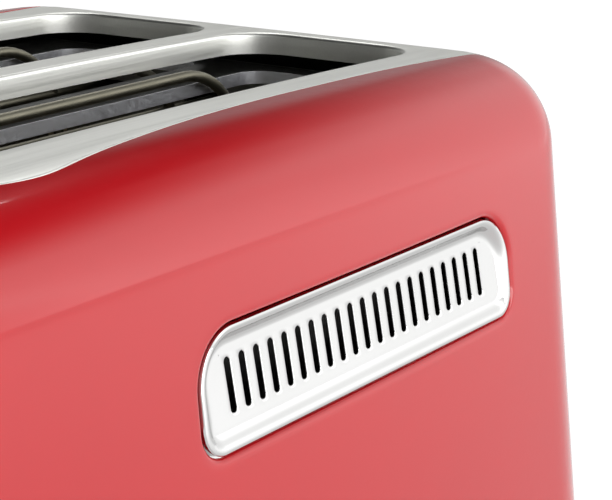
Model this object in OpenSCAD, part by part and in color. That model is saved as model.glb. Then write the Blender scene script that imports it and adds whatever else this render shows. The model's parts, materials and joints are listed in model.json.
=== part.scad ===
// Two-slot toaster with a painted pressed body, a stainless top plate and a vent in each long side.
// The origin is on the surface the toaster stands on, under the middle of the whole toaster.
// X runs along the slots (the lever is at the -X end), Z is up.

/* [Body shell] */
// Height of the top plate's crest above the table
crest_z = 186; // [176:1:200]
// X of the middle of the body
mid_x = 6.6; // [2:0.1:12]
// Half length of the crest line, from the middle to each end
crest_len = 87.5; // [86:0.5:94]
// Half width of the crest line at the middle
crest_half = 52; // [51:0.2:56]
// Radius of the roll from the crest to the long sides
roll_r = 16.2; // [14:0.1:20]
// Radius of the roll from the crest to the ends
end_roll_r = 12; // [11:0.1:16]
// Radius of the crest line at the corners, in plan
corner_r = 4.5; // [3:0.5:8]
// Radius of the bowed long sides, in plan
side_r = 2500; // [1500:50:4000]
// Angle by which the sides lean inwards
draft = 5.38; // [4:0.01:7]
// Curvature of the arch along the slots, drop per square mm
arch_k = 0.000153; // [0.0001:0.000001:0.0002]
// Thickness of the pressed shell
shell_t = 1; // [0.8:0.1:1.4]
// Height of the shell's lower edge
shell_low = 22; // [20:1:26]

/* [Top plate] */
// Sheet thickness of the top plate
plate_t = 0.8; // [0.6:0.1:1.2]
// Half width of the plate along the straight stretch
plate_half = 48; // [46:0.5:50]
// Distance of the plate's plain end from the middle of the body
plate_off = 91.6; // [90:0.2:92]
// Distance from the middle of the body where the plate's edge starts to flare towards the lever end
flare_off = 32; // [26:1:44]
// Distance from the middle of the body where the plate's edge starts to flare towards the plain end
end_flare_off = 50; // [46:1:58]
// Radius of the flare
flare_r = 255; // [200:5:400]
// Length of the flare along X
flare_len = 56; // [40:1:60]
// Radius of the plate's corners at the flared end
flare_corner = 26; // [20:1:30]
// Radius of the plate's corners at the plain end
plate_corner = 5; // [4:0.5:8]
// Depth of the plate's turned-down rim
plate_rim = 5; // [3:0.5:6]
// Gap between the plate and the shell
plate_gap = 0.25; // [0.15:0.05:0.4]

/* [Bread slots] */
// Length of each bread slot
slot_len = 128; // [126:1:130]
// Width of each bread slot
slot_w = 38; // [36:0.5:38.5]
// Distance of the middle of the slots from the middle of the body
slot_off = 20.5; // [20:0.5:21]
// Width of the bar between the slots
slot_bar = 6.5; // [6:0.5:8]
// Corner radius of the slots
slot_corner = 9; // [5:0.5:12]
// Depth of the turned-down flange round each slot
slot_flange = 3.7; // [2.5:0.1:4.5]

/* [Side vents] */
// Length of the vent's opening
vent_len = 84.6; // [78:0.2:88]
// Height of the vent's opening
vent_h = 17.9; // [16:0.1:22]
// Radius of the vent's upper corners
vent_corner = 8.5; // [6:0.5:8.5]
// Radius of the vent's lower corners
vent_low_corner = 4.4; // [3:0.2:6]
// Distance of the middle of the vent from the middle of the body
vent_off = 26; // [22:0.5:27]
// Depth of the vent's middle below the plate's crest
vent_drop = 31.6; // [29:0.2:36]
// Depth of the dish
dish_depth = 1.7; // [1.5:0.1:3]
// Width of the dish's sloping wall
dish_slope = 3; // [2:0.1:4]
// Sheet thickness of the dish
dish_t = 0.7; // [0.5:0.1:1]
// Number of slits
slit_count = 21; // [15:2:21]
// Pitch of the slits
slit_pitch = 3.39; // [3:0.01:3.5]
// Width of a slit
slit_w = 1.2; // [0.8:0.1:1.6]
// Length of a slit
slit_len = 7.8; // [6:0.2:9]

/* [Toasting chamber] */
// Depth of the inner slot frame below the crest
frame_drop = 7.9; // [7:0.1:9]
// Thickness of the inner sheets
sheet_t = 0.8; // [0.6:0.1:1]
// Depth of the inner slot frame's flange
frame_flange = 2.4; // [1.5:0.1:3]
// Half width of the chassis plates
chassis_half = 51; // [50:0.5:53]
// Height of the chassis plates' lower edge
chassis_low = 24; // [23:0.5:26]
// Diameter of the guard wires
wire_d = 2; // [1.6:0.1:2.4]
// Number of upright wires in a guard
wire_count = 7; // [5:1:9]
// Travel of a guard towards the middle of its slot
guard_travel = 6; // [4:0.5:6]
// Thickness of the heater boards
board_t = 1; // [0.8:0.1:1.4]
// Number of ribbon runs on a heater board
ribbon_runs = 10; // [8:2:12]
// Height of a ribbon
ribbon_h = 3; // [2:0.5:4]
// Thickness of a ribbon
ribbon_t = 0.3; // [0.2:0.1:0.5]

/* [Carriage] */
// Height of the bread lifters when raised
lifter_z = 100; // [96:1:106]
// Travel of the carriage
carriage_travel = 55; // [50:1:56]
// Diameter of the guide rods
rod_d = 4; // [3:0.5:5]
// Running clearance of the carriage on its rods, on the radius
rod_gap = 0.05; // [0.03:0.01:0.08]
// Height of the lever arm's middle when raised
lever_z = 144; // [142:1:148]
// Width of the lever knob
lever_w = 26; // [22:1:30]
// Clearance between moving pieces
move_gap = 0.4; // [0.3:0.05:0.6]

/* [Controls] */
// Width of the control fascia
fascia_w = 72; // [66:1:78]
// Height of the control fascia
fascia_h = 132; // [126:1:136]
// Height of the middle of the fascia
fascia_z = 100; // [98:1:102]
// Thickness of the fascia
fascia_t = 1.2; // [0.8:0.1:1.6]
// Width of the fascia's lap over the shell
fascia_lap = 6; // [5:0.5:7]
// Gap between the panel carrier's flange and the shell
carrier_gap = 0.6; // [0.5:0.1:1]
// Diameter of the browning knob
knob_d = 36; // [30:1:40]
// Height of the browning knob
knob_h = 14; // [10:0.5:18]
// Distance of the knob's axis below the middle of the fascia
knob_down = 44; // [40:1:46]
// Diameter of the potentiometer's shaft
shaft_d = 6; // [5:0.5:7]
// Diameter of a push button
button_d = 12; // [10:0.5:13]
// Spacing of the push buttons
button_pitch = 19; // [17:1:21]
// Distance of the buttons from the fascia's side edge
button_edge = 14; // [13:0.5:16]
// Travel of a push button
button_travel = 1.5; // [1:0.1:2]

/* [Base] */
// Height of the feet
foot_h = 6; // [5:0.5:9]
// Diameter of the feet
foot_d = 16; // [12:1:20]
// Thickness of the base
base_t = 3; // [2:0.5:4]
// Height of the crumb tray
tray_h = 10; // [8:0.5:10]
// Half width of the crumb tray
tray_half = 47; // [44:0.5:48]
// Bore of the cord gland
gland_bore = 6; // [5:0.5:6]

/* [Hidden] */
$fn = 64;

// Plan of the body: arcs that run on into each other, from the lever end round to the plain end
end_lean = 2;
side_o = [mid_x, side_r - crest_half];
corner_x = crest_len - corner_r - crest_half * sin(end_lean) / 2;
side_a = asin(corner_x / (side_r - corner_r));
corner_o = side_o + (side_r - corner_r) * [sin(side_a), -cos(side_a)];
turn_a = 90 - end_lean;
end_back = -corner_o[1] / cos(turn_a);
end_o = [corner_o[0] - end_back * sin(turn_a), 0];
end_r = end_back + corner_r;
far = 400;

// Steps of the faceted shell
end_steps = 3;
corner_steps = 14;
side_steps = 20;
roll_steps = 10;
wall_steps = 3;

function arch(x) = arch_k * pow(x - mid_x, 2);
function ease(t) = t * t * (3 - 2 * t);
function plan_centre(a) =
    abs(a) <= side_a ? side_o :
    let (o = abs(a) <= turn_a ? corner_o : end_o)
    [mid_x + sign(a) * (o[0] - mid_x), o[1]];
function plan_radius(a) = abs(a) <= side_a ? side_r : abs(a) <= turn_a ? corner_r : end_r;
function end_share(a) = ease(min(1, max(0, (abs(a) - side_a) / (turn_a - side_a))));
function roll_at(a) = roll_r + (end_roll_r - roll_r) * end_share(a);
function plan_point(a, out) = plan_centre(a) + (plan_radius(a) + out) * [sin(a), -cos(a)];
function wall_out(a, z, inset) =
    let (r = roll_at(a), turn = crest_z - r + (r - inset) * sin(draft))
    (r - inset) * cos(draft) + (turn - z) * tan(draft);
half_angles = [
    for (i = [0:end_steps - 1]) -90 + (90 - turn_a) * i / end_steps,
    for (i = [0:corner_steps - 1]) -turn_a + (turn_a - side_a) * i / corner_steps,
    for (i = [0:side_steps]) -side_a + 2 * side_a * i / side_steps,
    for (i = [1:corner_steps]) side_a + (turn_a - side_a) * i / corner_steps,
    for (i = [1:end_steps]) turn_a + (90 - turn_a) * i / end_steps
];
half_count = len(half_angles) - 1;
ring_count = 2 * half_count;
function ring_angle(i) = half_angles[i <= half_count ? i : ring_count - i];
function ring_side(i) = i <= half_count ? 1 : -1;

// A section's points from the crest down: first the roll, then the leaning wall
level_count = roll_steps + wall_steps;
function section_point(a, k, inset) =
    let (r = roll_at(a), turn = 90 - (90 - draft) * min(k, roll_steps) / roll_steps)
    let (low = crest_z - r + (r - inset) * sin(draft))
    let (z = low + (shell_low - low) * (k - roll_steps) / wall_steps)
    k <= roll_steps ? [(r - inset) * cos(turn), crest_z - r + (r - inset) * sin(turn)] :
    [wall_out(a, z, inset), z];
function form_point(i, k, inset) =
    let (a = ring_angle(i), s = section_point(a, k, inset), p = plan_point(a, s[0]))
    let (lift = k < level_count ? arch(p[0]) * (s[1] - shell_low) / (crest_z - shell_low) : 0)
    [p[0], ring_side(i) * p[1], s[1] - lift];
function outline(z, inset) = [
    for (i = [0:ring_count - 1])
        let (a = ring_angle(i), p = plan_point(a, wall_out(a, z, inset)))
        [p[0], ring_side(i) * p[1]]
];

// Places that several pieces share
plate_end = mid_x + plate_off;
flare_x = mid_x + flare_off;
end_flare_x = mid_x + end_flare_off;
slot_x = mid_x + slot_off;
vent_x = mid_x + vent_off;
slot_y = (slot_bar + slot_w) / 2;
slot_lo = slot_x - slot_len / 2;
slot_hi = slot_x + slot_len / 2;
frame_z = crest_z - frame_drop;
front_x = slot_lo - 4;
rear_x = slot_hi + 3;
inner_guard_y = slot_bar / 2 + 4.25;
outer_guard_y = slot_bar / 2 + slot_w - 4.25;
guard_top = crest_z - 5.8;
guard_high = frame_z - 8;
guard_low = 50;
slit_room = wire_d / 2 + 0.3;
base_low = foot_h;
base_top = base_low + base_t;
ledge_t = 1.5;
skirt_in = 2.5;
skirt_t = 2.5;
pan_gap = 0.15;
skirt_end = plan_point(90, wall_out(90, shell_low, skirt_in))[0];
gland_body = gland_bore / 2 + 1.6;
side_turn = crest_z - roll_r + roll_r * sin(draft);
vent_z = crest_z - vent_drop;
vent_a = asin((vent_x - mid_x) / side_r);
vent_at = plan_point(vent_a, roll_r * cos(draft) + (side_turn - vent_z) * tan(draft));
vent_lap = 4;
vent_edge = 0.5;
vent_sag = pow(vent_len / 2 + vent_lap, 2) / (2 * side_r);
vent_flange = shell_t + vent_sag + 0.2;
end_turn = crest_z - end_roll_r + end_roll_r * sin(draft);
function lever_end_x(z) =
    mid_x - (end_o[0] - mid_x) - end_r - end_roll_r * cos(draft) - (end_turn - z) * tan(draft);
tray_z = base_top + 1;
tray_lo = front_x + 6;
handle_seat = 1.8;
handle_reach = 3;
grip_half = 22;
tray_hi = skirt_end - handle_seat;
boss_y = chassis_half + 6;
boss_d = 9;
boss_reach = 7;
screw_d = 3;
rod_x = front_x - sheet_t - 6.5;
rod_y = 12;
back_x = rod_x - 4;
carriage_t = 1.2;
carriage_low = lifter_z - 16;
carriage_high = lever_z + 8;
carriage_half = 27;
bracket_low = carriage_low - carriage_travel - 2.6;
bracket_high = frame_z - 6;
armature_z = 128;
armature_t = 2;
magnet_x = back_x - carriage_t - 14;
magnet_top = armature_z - carriage_travel - move_gap;
lever_t = 3;
lever_h = 7;
lever_out = lever_end_x(lever_z - carriage_travel) - 4;
carrier_t = 2.2;
carrier_back = -shell_t - carrier_gap - carrier_t;
board_back = -15.6;
board_face = -14;
pot_h = 7;

module mirror_y() {
    children();
    mirror([0, 1, 0]) children();
}
module round_rect(w, h, r) {
    square([w - 2 * r, h], center = true);
    square([w, h - 2 * r], center = true);
    for (x = [-1, 1], y = [-1, 1]) translate([x * (w / 2 - r), y * (h / 2 - r)]) circle(r);
}
module stadium(w, h) {
    square([w, h - w], center = true);
    for (y = [-1, 1]) translate([0, y * (h - w) / 2]) circle(w / 2, $fn = 16);
}
module screw(d, length, head_d, head_h) {
    cylinder(d = d, h = length);
    translate([0, 0, -head_h]) difference() {
        cylinder(d = head_d, h = head_h);
        for (a = [0, 90]) rotate(a) translate([-head_d / 3, -0.4, -0.1]) cube([head_d / 1.5, 0.8, 0.9]);
    }
}

// Frame on the lever end: its X is up the fascia, its Z points straight out of it
module on_fascia(up = 0, y = 0, out = 0) {
    translate([lever_end_x(fascia_z), 0, fascia_z])
        rotate([0, draft - 90, 0])
            translate([up, y, out])
                children();
}
// Frame on the vent of the -Y side: its X is along the body, its Z points straight out of the wall
module on_vent() {
    translate([vent_at[0], vent_at[1], vent_z - arch(vent_x)])
        rotate([0, 0, vent_a])
            rotate([90 - draft, 0, 0])
                children();
}

// Body shell
module shell_form() {
    skin = ring_count * (level_count + 1);
    points = [
        for (inset = [0, shell_t], k = [0:level_count], i = [0:ring_count - 1]) form_point(i, k, inset)
    ];
    function at(s, k, i) = s * skin + k * ring_count + (i + ring_count) % ring_count;
    walls = [
        for (k = [0:level_count - 1], i = [0:ring_count - 1])
            each [
                [at(0, k, i), at(0, k, i + 1), at(0, k + 1, i + 1)],
                [at(0, k, i), at(0, k + 1, i + 1), at(0, k + 1, i)],
                [at(1, k, i), at(1, k + 1, i + 1), at(1, k, i + 1)],
                [at(1, k, i), at(1, k + 1, i), at(1, k + 1, i + 1)]
            ]
    ];
    edge = [
        for (i = [0:ring_count - 1])
            each [
                [at(0, level_count, i), at(0, level_count, i + 1), at(1, level_count, i + 1)],
                [at(0, level_count, i), at(1, level_count, i + 1), at(1, level_count, i)]
            ]
    ];
    tops = [
        for (s = [0, 1], i = [0:half_count - 1])
            let (a = at(s, 0, i), b = at(s, 0, i + 1), c = at(s, 0, -i - 1), d = at(s, 0, -i))
            let (face = a == d ? [a, c, b] : b == c ? [a, d, b] : [a, d, c, b])
            s == 0 ? face : [for (j = [len(face) - 1:-1:0]) face[j]]
    ];
    polyhedron(points, concat(walls, edge, tops), convexity = 6);
}
module body_shell() {
    color("#c8102a") difference() {
        shell_form();
        translate([0, 0, crest_z - 20]) linear_extrude(40) plate_outline(plate_gap);
        mirror_y() on_vent() translate([0, 0, -8]) linear_extrude(16)
            vent_shape(0);
        on_fascia(0, 0, -8) linear_extrude(16)
            round_rect(fascia_h - 2 * fascia_lap, fascia_w - 2 * fascia_lap, 6);
    }
}

// Top plate
module plate_outline(grow) {
    flare_end = flare_x - flare_len;
    flare_out = pow(flare_len, 2) / (2 * flare_r);
    lean = atan(flare_len / flare_r);
    flare_o = [flare_end - flare_corner * sin(lean), plate_half + flare_out - flare_corner * cos(lean)];
    run = plate_end - 1.1 * plate_corner - end_flare_x;
    end_turn = atan(run / flare_r);
    end_x = end_flare_x + run;
    end_y = plate_half + run * run / (2 * flare_r);
    plain_o = [end_x + plate_corner * sin(end_turn), end_y - plate_corner * cos(end_turn)];
    edge = [
        for (i = [0:8]) let (a = (90 + end_turn) * i / 8) plain_o + plate_corner * [cos(a), sin(a)],
        for (i = [7:-1:0]) let (u = run * i / 8) [end_flare_x + u, plate_half + u * u / (2 * flare_r)],
        for (i = [0:14]) let (u = flare_len * i / 14) [flare_x - u, plate_half + u * u / (2 * flare_r)],
        for (i = [1:16]) let (a = 90 - lean + (90 + lean) * i / 16)
            flare_o + flare_corner * [cos(a), sin(a)]
    ];
    grown = [for (p = edge) p + grow * [p[0] > slot_hi ? 1 : p[0] < flare_end - 20 ? -1 : 0, 1]];
    polygon(concat(grown, [for (i = [len(grown) - 1:-1:0]) [grown[i][0], -grown[i][1]]]));
}
module arch_slab(depth) {
    lo = mid_x - crest_len - 10;
    hi = mid_x + crest_len + 10;
    steps = 40;
    xs = [for (i = [0:steps]) lo + (hi - lo) * i / steps];
    top = [for (x = xs) [x, crest_z - arch(x)]];
    low = [for (i = [steps:-1:0]) [xs[i], crest_z - arch(xs[i]) - depth]];
    translate([0, far / 2, 0]) rotate([90, 0, 0]) linear_extrude(far) polygon(concat(top, low));
}
module slot_outlines(grow) {
    for (side = [-1, 1]) translate([slot_x, side * slot_y])
        round_rect(slot_len + 2 * grow, slot_w + 2 * grow, slot_corner + grow);
}
module tall(height = 40) {
    translate([0, 0, crest_z - height / 2]) linear_extrude(height) children();
}
module top_plate() {
    color("#c9cac6") difference() {
        union() {
            intersection() {
                arch_slab(plate_t);
                tall() plate_outline(0);
            }
            intersection() {
                arch_slab(slot_flange);
                tall() slot_outlines(plate_t);
            }
            intersection() {
                arch_slab(plate_rim);
                tall() difference() {
                    plate_outline(0);
                    plate_outline(-plate_t);
                }
            }
        }
        tall() slot_outlines(0);
    }
}

// Side vents
module vent_shape(grow) {
    w = vent_len / 2 + grow;
    h = vent_h / 2 + grow;
    high = max(0.5, vent_corner + grow);
    low = max(0.5, vent_low_corner + grow);
    translate([-w, low - h]) square([2 * w, 2 * h - high - low]);
    translate([high - w, low - h]) square([2 * (w - high), 2 * h - low]);
    translate([low - w, -h]) square([2 * (w - low), 2 * h - high]);
    for (x = [-1, 1]) {
        translate([x * (w - high), h - high]) circle(high);
        translate([x * (w - low), low - h]) circle(low);
    }
}
module dish_solid() {
    hull() {
        translate([0, 0, -shell_t]) linear_extrude(0.01) vent_shape(-vent_edge, $fn = 32);
        translate([0, 0, -dish_depth]) linear_extrude(0.01) vent_shape(-vent_edge - dish_slope, $fn = 32);
    }
}
module vent_grille() {
    color("#dedfdc") on_vent() difference() {
        union() {
            translate([0, 0, -dish_depth - dish_t]) linear_extrude(dish_t)
                vent_shape(-dish_slope);
            difference() {
                translate([0, 0, -dish_depth - dish_t]) linear_extrude(dish_depth + dish_t - shell_t)
                    vent_shape(-0.3);
                dish_solid();
                translate([0, 0, -shell_t - 0.01]) linear_extrude(4) vent_shape(-vent_edge);
            }
            translate([0, 0, -vent_flange - dish_t]) linear_extrude(dish_t) difference() {
                vent_shape(vent_lap);
                vent_shape(-2 * vent_edge);
            }
        }
        for (i = [0:slit_count - 1])
            translate([(i - (slit_count - 1) / 2) * slit_pitch, 0, -far / 2])
                linear_extrude(far / 2) stadium(slit_w, slit_len);
    }
}
module left_vent_grille() {
    vent_grille();
}
module right_vent_grille() {
    mirror([0, 1, 0]) vent_grille();
}

// Control end
board_foot = 36;
button_ups = [button_pitch, 0, -button_pitch];
button_mid = 16;
button_y = fascia_w / 2 - button_edge;
pot_room = shaft_d / 2 + 0.5;
module lever_slot(width) {
    low = lever_z - carriage_travel - lever_h / 2 - 2;
    high = lever_z + lever_h / 2 + 2;
    translate([lever_end_x(low) - 40, -width / 2, low]) cube([70, width, high - low]);
}
module control_holes(clear) {
    for (u = button_ups) on_fascia(button_mid + u, button_y, -20)
        cylinder(d = button_d + 2 * clear, h = 40);
    on_fascia(-knob_down, 0, -20) cylinder(r = pot_room, h = 40);
}
module control_fascia() {
    color("#c9cac6") difference() {
        on_fascia() linear_extrude(fascia_t) round_rect(fascia_h, fascia_w, 10);
        control_holes(move_gap);
        lever_slot(lever_t + 3);
    }
}
// Board posts, up the fascia and across it
post_low = 10 - fascia_h / 2;
post_left = 16 - fascia_w / 2;
post_right = fascia_w / 2 - 6;
post_spots = [
    [post_low, post_left], [post_low, post_right],
    [post_low + board_foot - 12, post_left], [fascia_h / 2 - 16, post_right]
];
post_d = 6;
post_hole = 2.5;
module panel_carrier() {
    color("#1c1c1e") {
        difference() {
            union() {
                on_fascia(0, 0, carrier_back) linear_extrude(carrier_t)
                    round_rect(fascia_h - 4, fascia_w - 4, 8);
                on_fascia(0, 0, carrier_back + 1) linear_extrude(-carrier_back - 1)
                    round_rect(fascia_h - 2 * fascia_lap - 0.6, fascia_w - 2 * fascia_lap - 0.6, 5.7);
            }
            control_holes(move_gap);
            lever_slot(lever_t + 4);
        }
        for (p = post_spots) on_fascia(p[0], p[1], board_face) difference() {
            cylinder(d = post_d, h = carrier_back - board_face + 0.1);
            translate([0, 0, -1]) cylinder(d = post_hole, h = 8);
        }
    }
}
module control_board() {
    color("#2f6b3a") difference() {
        on_fascia(0, 0, board_back) linear_extrude(board_face - board_back) {
            translate([4 - fascia_h / 2, 10 - fascia_w / 2]) square([board_foot, fascia_w - 12]);
            translate([4 - fascia_h / 2, fascia_w / 2 - 24]) square([fascia_h - 14, 22]);
        }
        for (p = post_spots) on_fascia(p[0], p[1], board_back - 1) cylinder(d = post_hole + 0.1, h = 8);
    }
}
module board_screws() {
    color("#9a9a98") for (p = post_spots) on_fascia(p[0], p[1], board_back) screw(2.4, 6, 4.6, 1.6);
}
switch_top = -9.9;
module tact_switches() {
    color("#303032") for (u = button_ups) on_fascia(button_mid + u, button_y, board_face) {
        translate([-3, -3, 0]) cube([6, 6, 3.4]);
        cylinder(d = 3.4, h = switch_top - board_face);
    }
}
module push_button(up) {
    flange_top = carrier_back - 0.3;
    stem_end = switch_top + button_travel + 0.2;
    on_fascia(button_mid + up, button_y, 0) {
        translate([0, 0, flange_top - 1.4]) cylinder(d = button_d + 3.4, h = 1.4);
        translate([0, 0, stem_end]) cylinder(d = 5, h = flange_top - stem_end);
        rotate_extrude() {
            translate([0, flange_top - 0.1]) square([button_d / 2, fascia_t + 1.4 - flange_top]);
            translate([0, fascia_t + 1.2]) square([button_d / 2 - 1.2, 1.3]);
            translate([button_d / 2 - 1.2, fascia_t + 1.3]) circle(1.2);
        }
    }
}
module cancel_button() {
    color("#28282a") push_button(button_ups[0]);
}
module reheat_button() {
    color("#28282a") push_button(button_ups[1]);
}
module defrost_button() {
    color("#28282a") push_button(button_ups[2]);
}
module browning_potentiometer() {
    color("#4a4a50") on_fascia(-knob_down, 0, board_face) difference() {
        union() {
            translate([-9, -9, 0]) cube([18, 18, pot_h - 2]);
            cylinder(d = shaft_d + 4, h = pot_h);
        }
        translate([0, 0, 1]) cylinder(r = shaft_d / 2 + rod_gap, h = pot_h);
    }
}
module potentiometer_shaft() {
    color("#d8d8d4") on_fascia(-knob_down, 0, board_face + 1.4)
        cylinder(d = shaft_d, h = knob_h - board_face - 4);
}
module browning_knob() {
    bottom = fascia_t + move_gap;
    color("#232325") on_fascia(-knob_down, 0, 0) difference() {
        rotate_extrude() difference() {
            translate([0, bottom]) square([knob_d / 2, knob_h - bottom]);
            translate([knob_d / 2 - 1.5, knob_h - 1.5]) difference() {
                square(3);
                circle(1.5);
            }
            translate([0, bottom - 1]) square([shaft_d / 2, knob_h - 2.6 - bottom + 1]);
        }
        for (i = [0:23]) rotate(15 * i) translate([knob_d / 2 + 0.6, 0, bottom + 2])
            cylinder(d = 2.4, h = knob_h);
        translate([knob_d / 2 - 9, -0.7, knob_h - 0.6]) cube([7, 1.4, 2]);
    }
}

// Base
module base_skirt() {
    window_high = shell_low - ledge_t - 0.2;
    color("#1b1b1d") difference() {
        union() {
            translate([0, 0, base_low]) linear_extrude(shell_low + 7 - base_low)
                polygon(outline(shell_low, skirt_in));
            translate([0, 0, shell_low - ledge_t]) linear_extrude(ledge_t)
                polygon(outline(shell_low, 0.3));
        }
        translate([0, 0, base_low - 1]) linear_extrude(far)
            polygon(outline(shell_low, skirt_in + skirt_t));
        translate([rear_x, -tray_half - 0.8, base_top])
            cube([60, 2 * tray_half + 1.6, window_high - base_top]);
        gland_place() translate([0, 0, -8]) cylinder(r = gland_body + 0.1, h = 16);
    }
}
module base_pan() {
    color("#1b1b1d") {
        difference() {
            translate([0, 0, base_low]) linear_extrude(base_t)
                polygon(outline(shell_low, skirt_in + skirt_t + pan_gap));
            for (p = foot_spots) translate([p[0], p[1], base_low - 1]) cylinder(d = 6.2, h = base_t + 2);
            for (p = boss_spots) translate([p[0], p[1], base_low - 1]) cylinder(d = 6.4, h = base_t);
            for (p = boss_spots) translate([p[0], p[1], base_low - 1])
                cylinder(d = screw_d + 0.4, h = far);
        }
        for (p = boss_spots) translate([p[0], p[1], base_top - 0.1]) difference() {
            cylinder(d = boss_d, h = chassis_low - base_top + 0.1);
            translate([0, 0, -1]) cylinder(d = screw_d + 0.4, h = far);
        }
        for (y = [-1, 1]) translate([tray_lo, y * (tray_half - 6) - 1, base_top - 0.1])
            cube([tray_hi - tray_lo, 2, 0.8]);
    }
}
boss_spots = [
    for (x = [front_x - sheet_t - boss_reach, rear_x + sheet_t + boss_reach], y = [-1, 1]) [x, y * boss_y]
];
foot_spots = [for (x = [front_x - 38, rear_x + 2], y = [-1, 1]) [x, y * (chassis_half + 14)]];
module rubber_feet() {
    color("#202022") for (p = foot_spots) translate([p[0], p[1], 0]) rotate_extrude() {
        square([foot_d / 2 - 1, foot_h]);
        translate([0, 1]) square([foot_d / 2, foot_h - 1]);
        translate([foot_d / 2 - 1, 1]) circle(1);
        square([3, foot_h + base_t]);
    }
}
module gland_place() {
    wall_y = -plan_point(0, wall_out(0, shell_low, skirt_in + skirt_t / 2))[1];
    translate([mid_x, wall_y, base_top + gland_body + 0.6]) rotate([-90, 0, 0]) children();
}
module cord_gland() {
    color("#202022") gland_place() rotate_extrude() difference() {
        union() {
            translate([0, -5]) square([gland_body, 8]);
            translate([0, skirt_t / 2 + 0.1]) square([gland_body + 1.3, 2]);
            translate([0, -skirt_t / 2 - 2.1]) square([gland_body + 0.5, 2]);
        }
        translate([0, -10]) square([gland_bore / 2, 30]);
    }
}
module crumb_tray() {
    wall = 0.8;
    color("#b9bab7") difference() {
        translate([tray_lo, -tray_half, tray_z]) cube([tray_hi - tray_lo, 2 * tray_half, tray_h]);
        translate([tray_lo + wall, wall - tray_half, tray_z + wall])
            cube([tray_hi - tray_lo - 2 * wall, 2 * (tray_half - wall), tray_h]);
    }
}
module crumb_tray_handle() {
    out = skirt_end + handle_reach;
    color("#1b1b1d") difference() {
        translate([tray_hi, -tray_half, tray_z - 0.6])
            cube([out - tray_hi, 2 * tray_half, tray_h + 0.4]);
        translate([out - 2.2, -grip_half, tray_z - 1]) cube([10, 2 * grip_half, 5]);
    }
}

// Toasting chamber
module frame_openings(grow) {
    for (side = [-1, 1]) translate([slot_x, side * slot_y])
        round_rect(slot_len - 4 + 2 * grow, outer_guard_y - inner_guard_y + 3.4 + 2 * grow, 5 + grow);
}
module chamber_top_frame() {
    color("#8d8f8e") difference() {
        union() {
            translate([front_x, -chassis_half, frame_z - sheet_t])
                cube([rear_x - front_x, 2 * chassis_half, sheet_t]);
            translate([0, 0, frame_z - frame_flange]) linear_extrude(frame_flange)
                frame_openings(sheet_t);
        }
        translate([0, 0, frame_z - 10]) linear_extrude(20) frame_openings(0);
    }
}
module guard_slits(x) {
    for (side = [-1, 1], z = [guard_low, guard_high], y = [inner_guard_y, outer_guard_y - guard_travel])
        translate([x - 5, min(side * y, side * (y + guard_travel)) - slit_room, z - slit_room])
            cube([10, guard_travel + 2 * slit_room, 2 * slit_room]);
}
module chassis_foot(x, way) {
    for (side = [-1, 1]) difference() {
        translate([min(x, x + way * 14), side * boss_y - 6, chassis_low]) cube([14, 12, sheet_t]);
        translate([x + way * boss_reach, side * boss_y, chassis_low - 1])
            cylinder(d = screw_d + 0.1, h = 4);
    }
}
module chassis_sheet(x) {
    translate([x, -chassis_half, chassis_low]) cube([sheet_t, 2 * chassis_half, frame_z - chassis_low]);
}
module front_chassis_plate() {
    slit_low = lifter_z - carriage_travel - 14;
    color("#9b9d9b") {
        difference() {
            chassis_sheet(front_x - sheet_t);
            guard_slits(front_x);
            for (side = [-1, 1]) translate([front_x - 5, side * slot_y - 2.5, slit_low])
                cube([10, 5, lifter_z + 2 - slit_low]);
        }
        chassis_foot(front_x - sheet_t, -1);
        for (side = [-1, 1]) translate([front_x - sheet_t, side * (boss_y - 3) - 4, chassis_low])
            cube([sheet_t, 8, 12]);
    }
}
module rear_chassis_plate() {
    color("#9b9d9b") {
        difference() {
            chassis_sheet(rear_x);
            guard_slits(rear_x);
        }
        chassis_foot(rear_x + sheet_t, 1);
        for (side = [-1, 1]) translate([rear_x, side * (boss_y - 3) - 4, chassis_low])
            cube([sheet_t, 8, 12]);
    }
}
module reflector() {
    color("#c4c6c4") translate([front_x, -chassis_half, chassis_low + 6])
        cube([rear_x - front_x, sheet_t, frame_z - sheet_t - chassis_low - 6]);
}
module left_reflector() {
    reflector();
}
module right_reflector() {
    mirror([0, 1, 0]) reflector();
}
board_low = 44;
board_high = frame_z - sheet_t - 12;
outer_board_y = chassis_half - 5;
module heater_board(y) {
    color("#cbb994") translate([front_x, y - board_t / 2, board_low])
        cube([rear_x - front_x, board_t, board_high - board_low]);
}
module left_heater_board() {
    heater_board(-outer_board_y);
}
module centre_heater_board() {
    heater_board(0);
}
module right_heater_board() {
    heater_board(outer_board_y);
}
module heater_ribbon(y) {
    pitch = (board_high - board_low - 12) / (ribbon_runs - 1);
    lo = front_x + 6;
    hi = rear_x - 6;
    color("#a8a49a") translate([0, y, board_low + 6]) for (i = [0:ribbon_runs - 1]) {
        translate([lo, -ribbon_t / 2, i * pitch - ribbon_h / 2]) cube([hi - lo, ribbon_t, ribbon_h]);
        if (i < ribbon_runs - 1)
            translate([i % 2 == 0 ? hi - ribbon_h : lo, -ribbon_t / 2, i * pitch])
                cube([ribbon_h, ribbon_t, pitch]);
    }
}
ribbon_off = (board_t + ribbon_t) / 2;
module left_heater_ribbon() {
    heater_ribbon(-outer_board_y + ribbon_off);
}
module centre_heater_ribbon() {
    heater_ribbon(-ribbon_off);
    heater_ribbon(ribbon_off);
}
module right_heater_ribbon() {
    heater_ribbon(outer_board_y - ribbon_off);
}
module wire_along(lo, hi, y, z) {
    translate([lo, y, z]) rotate([0, 90, 0]) cylinder(d = wire_d, h = hi - lo, $fn = 24);
}
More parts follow.
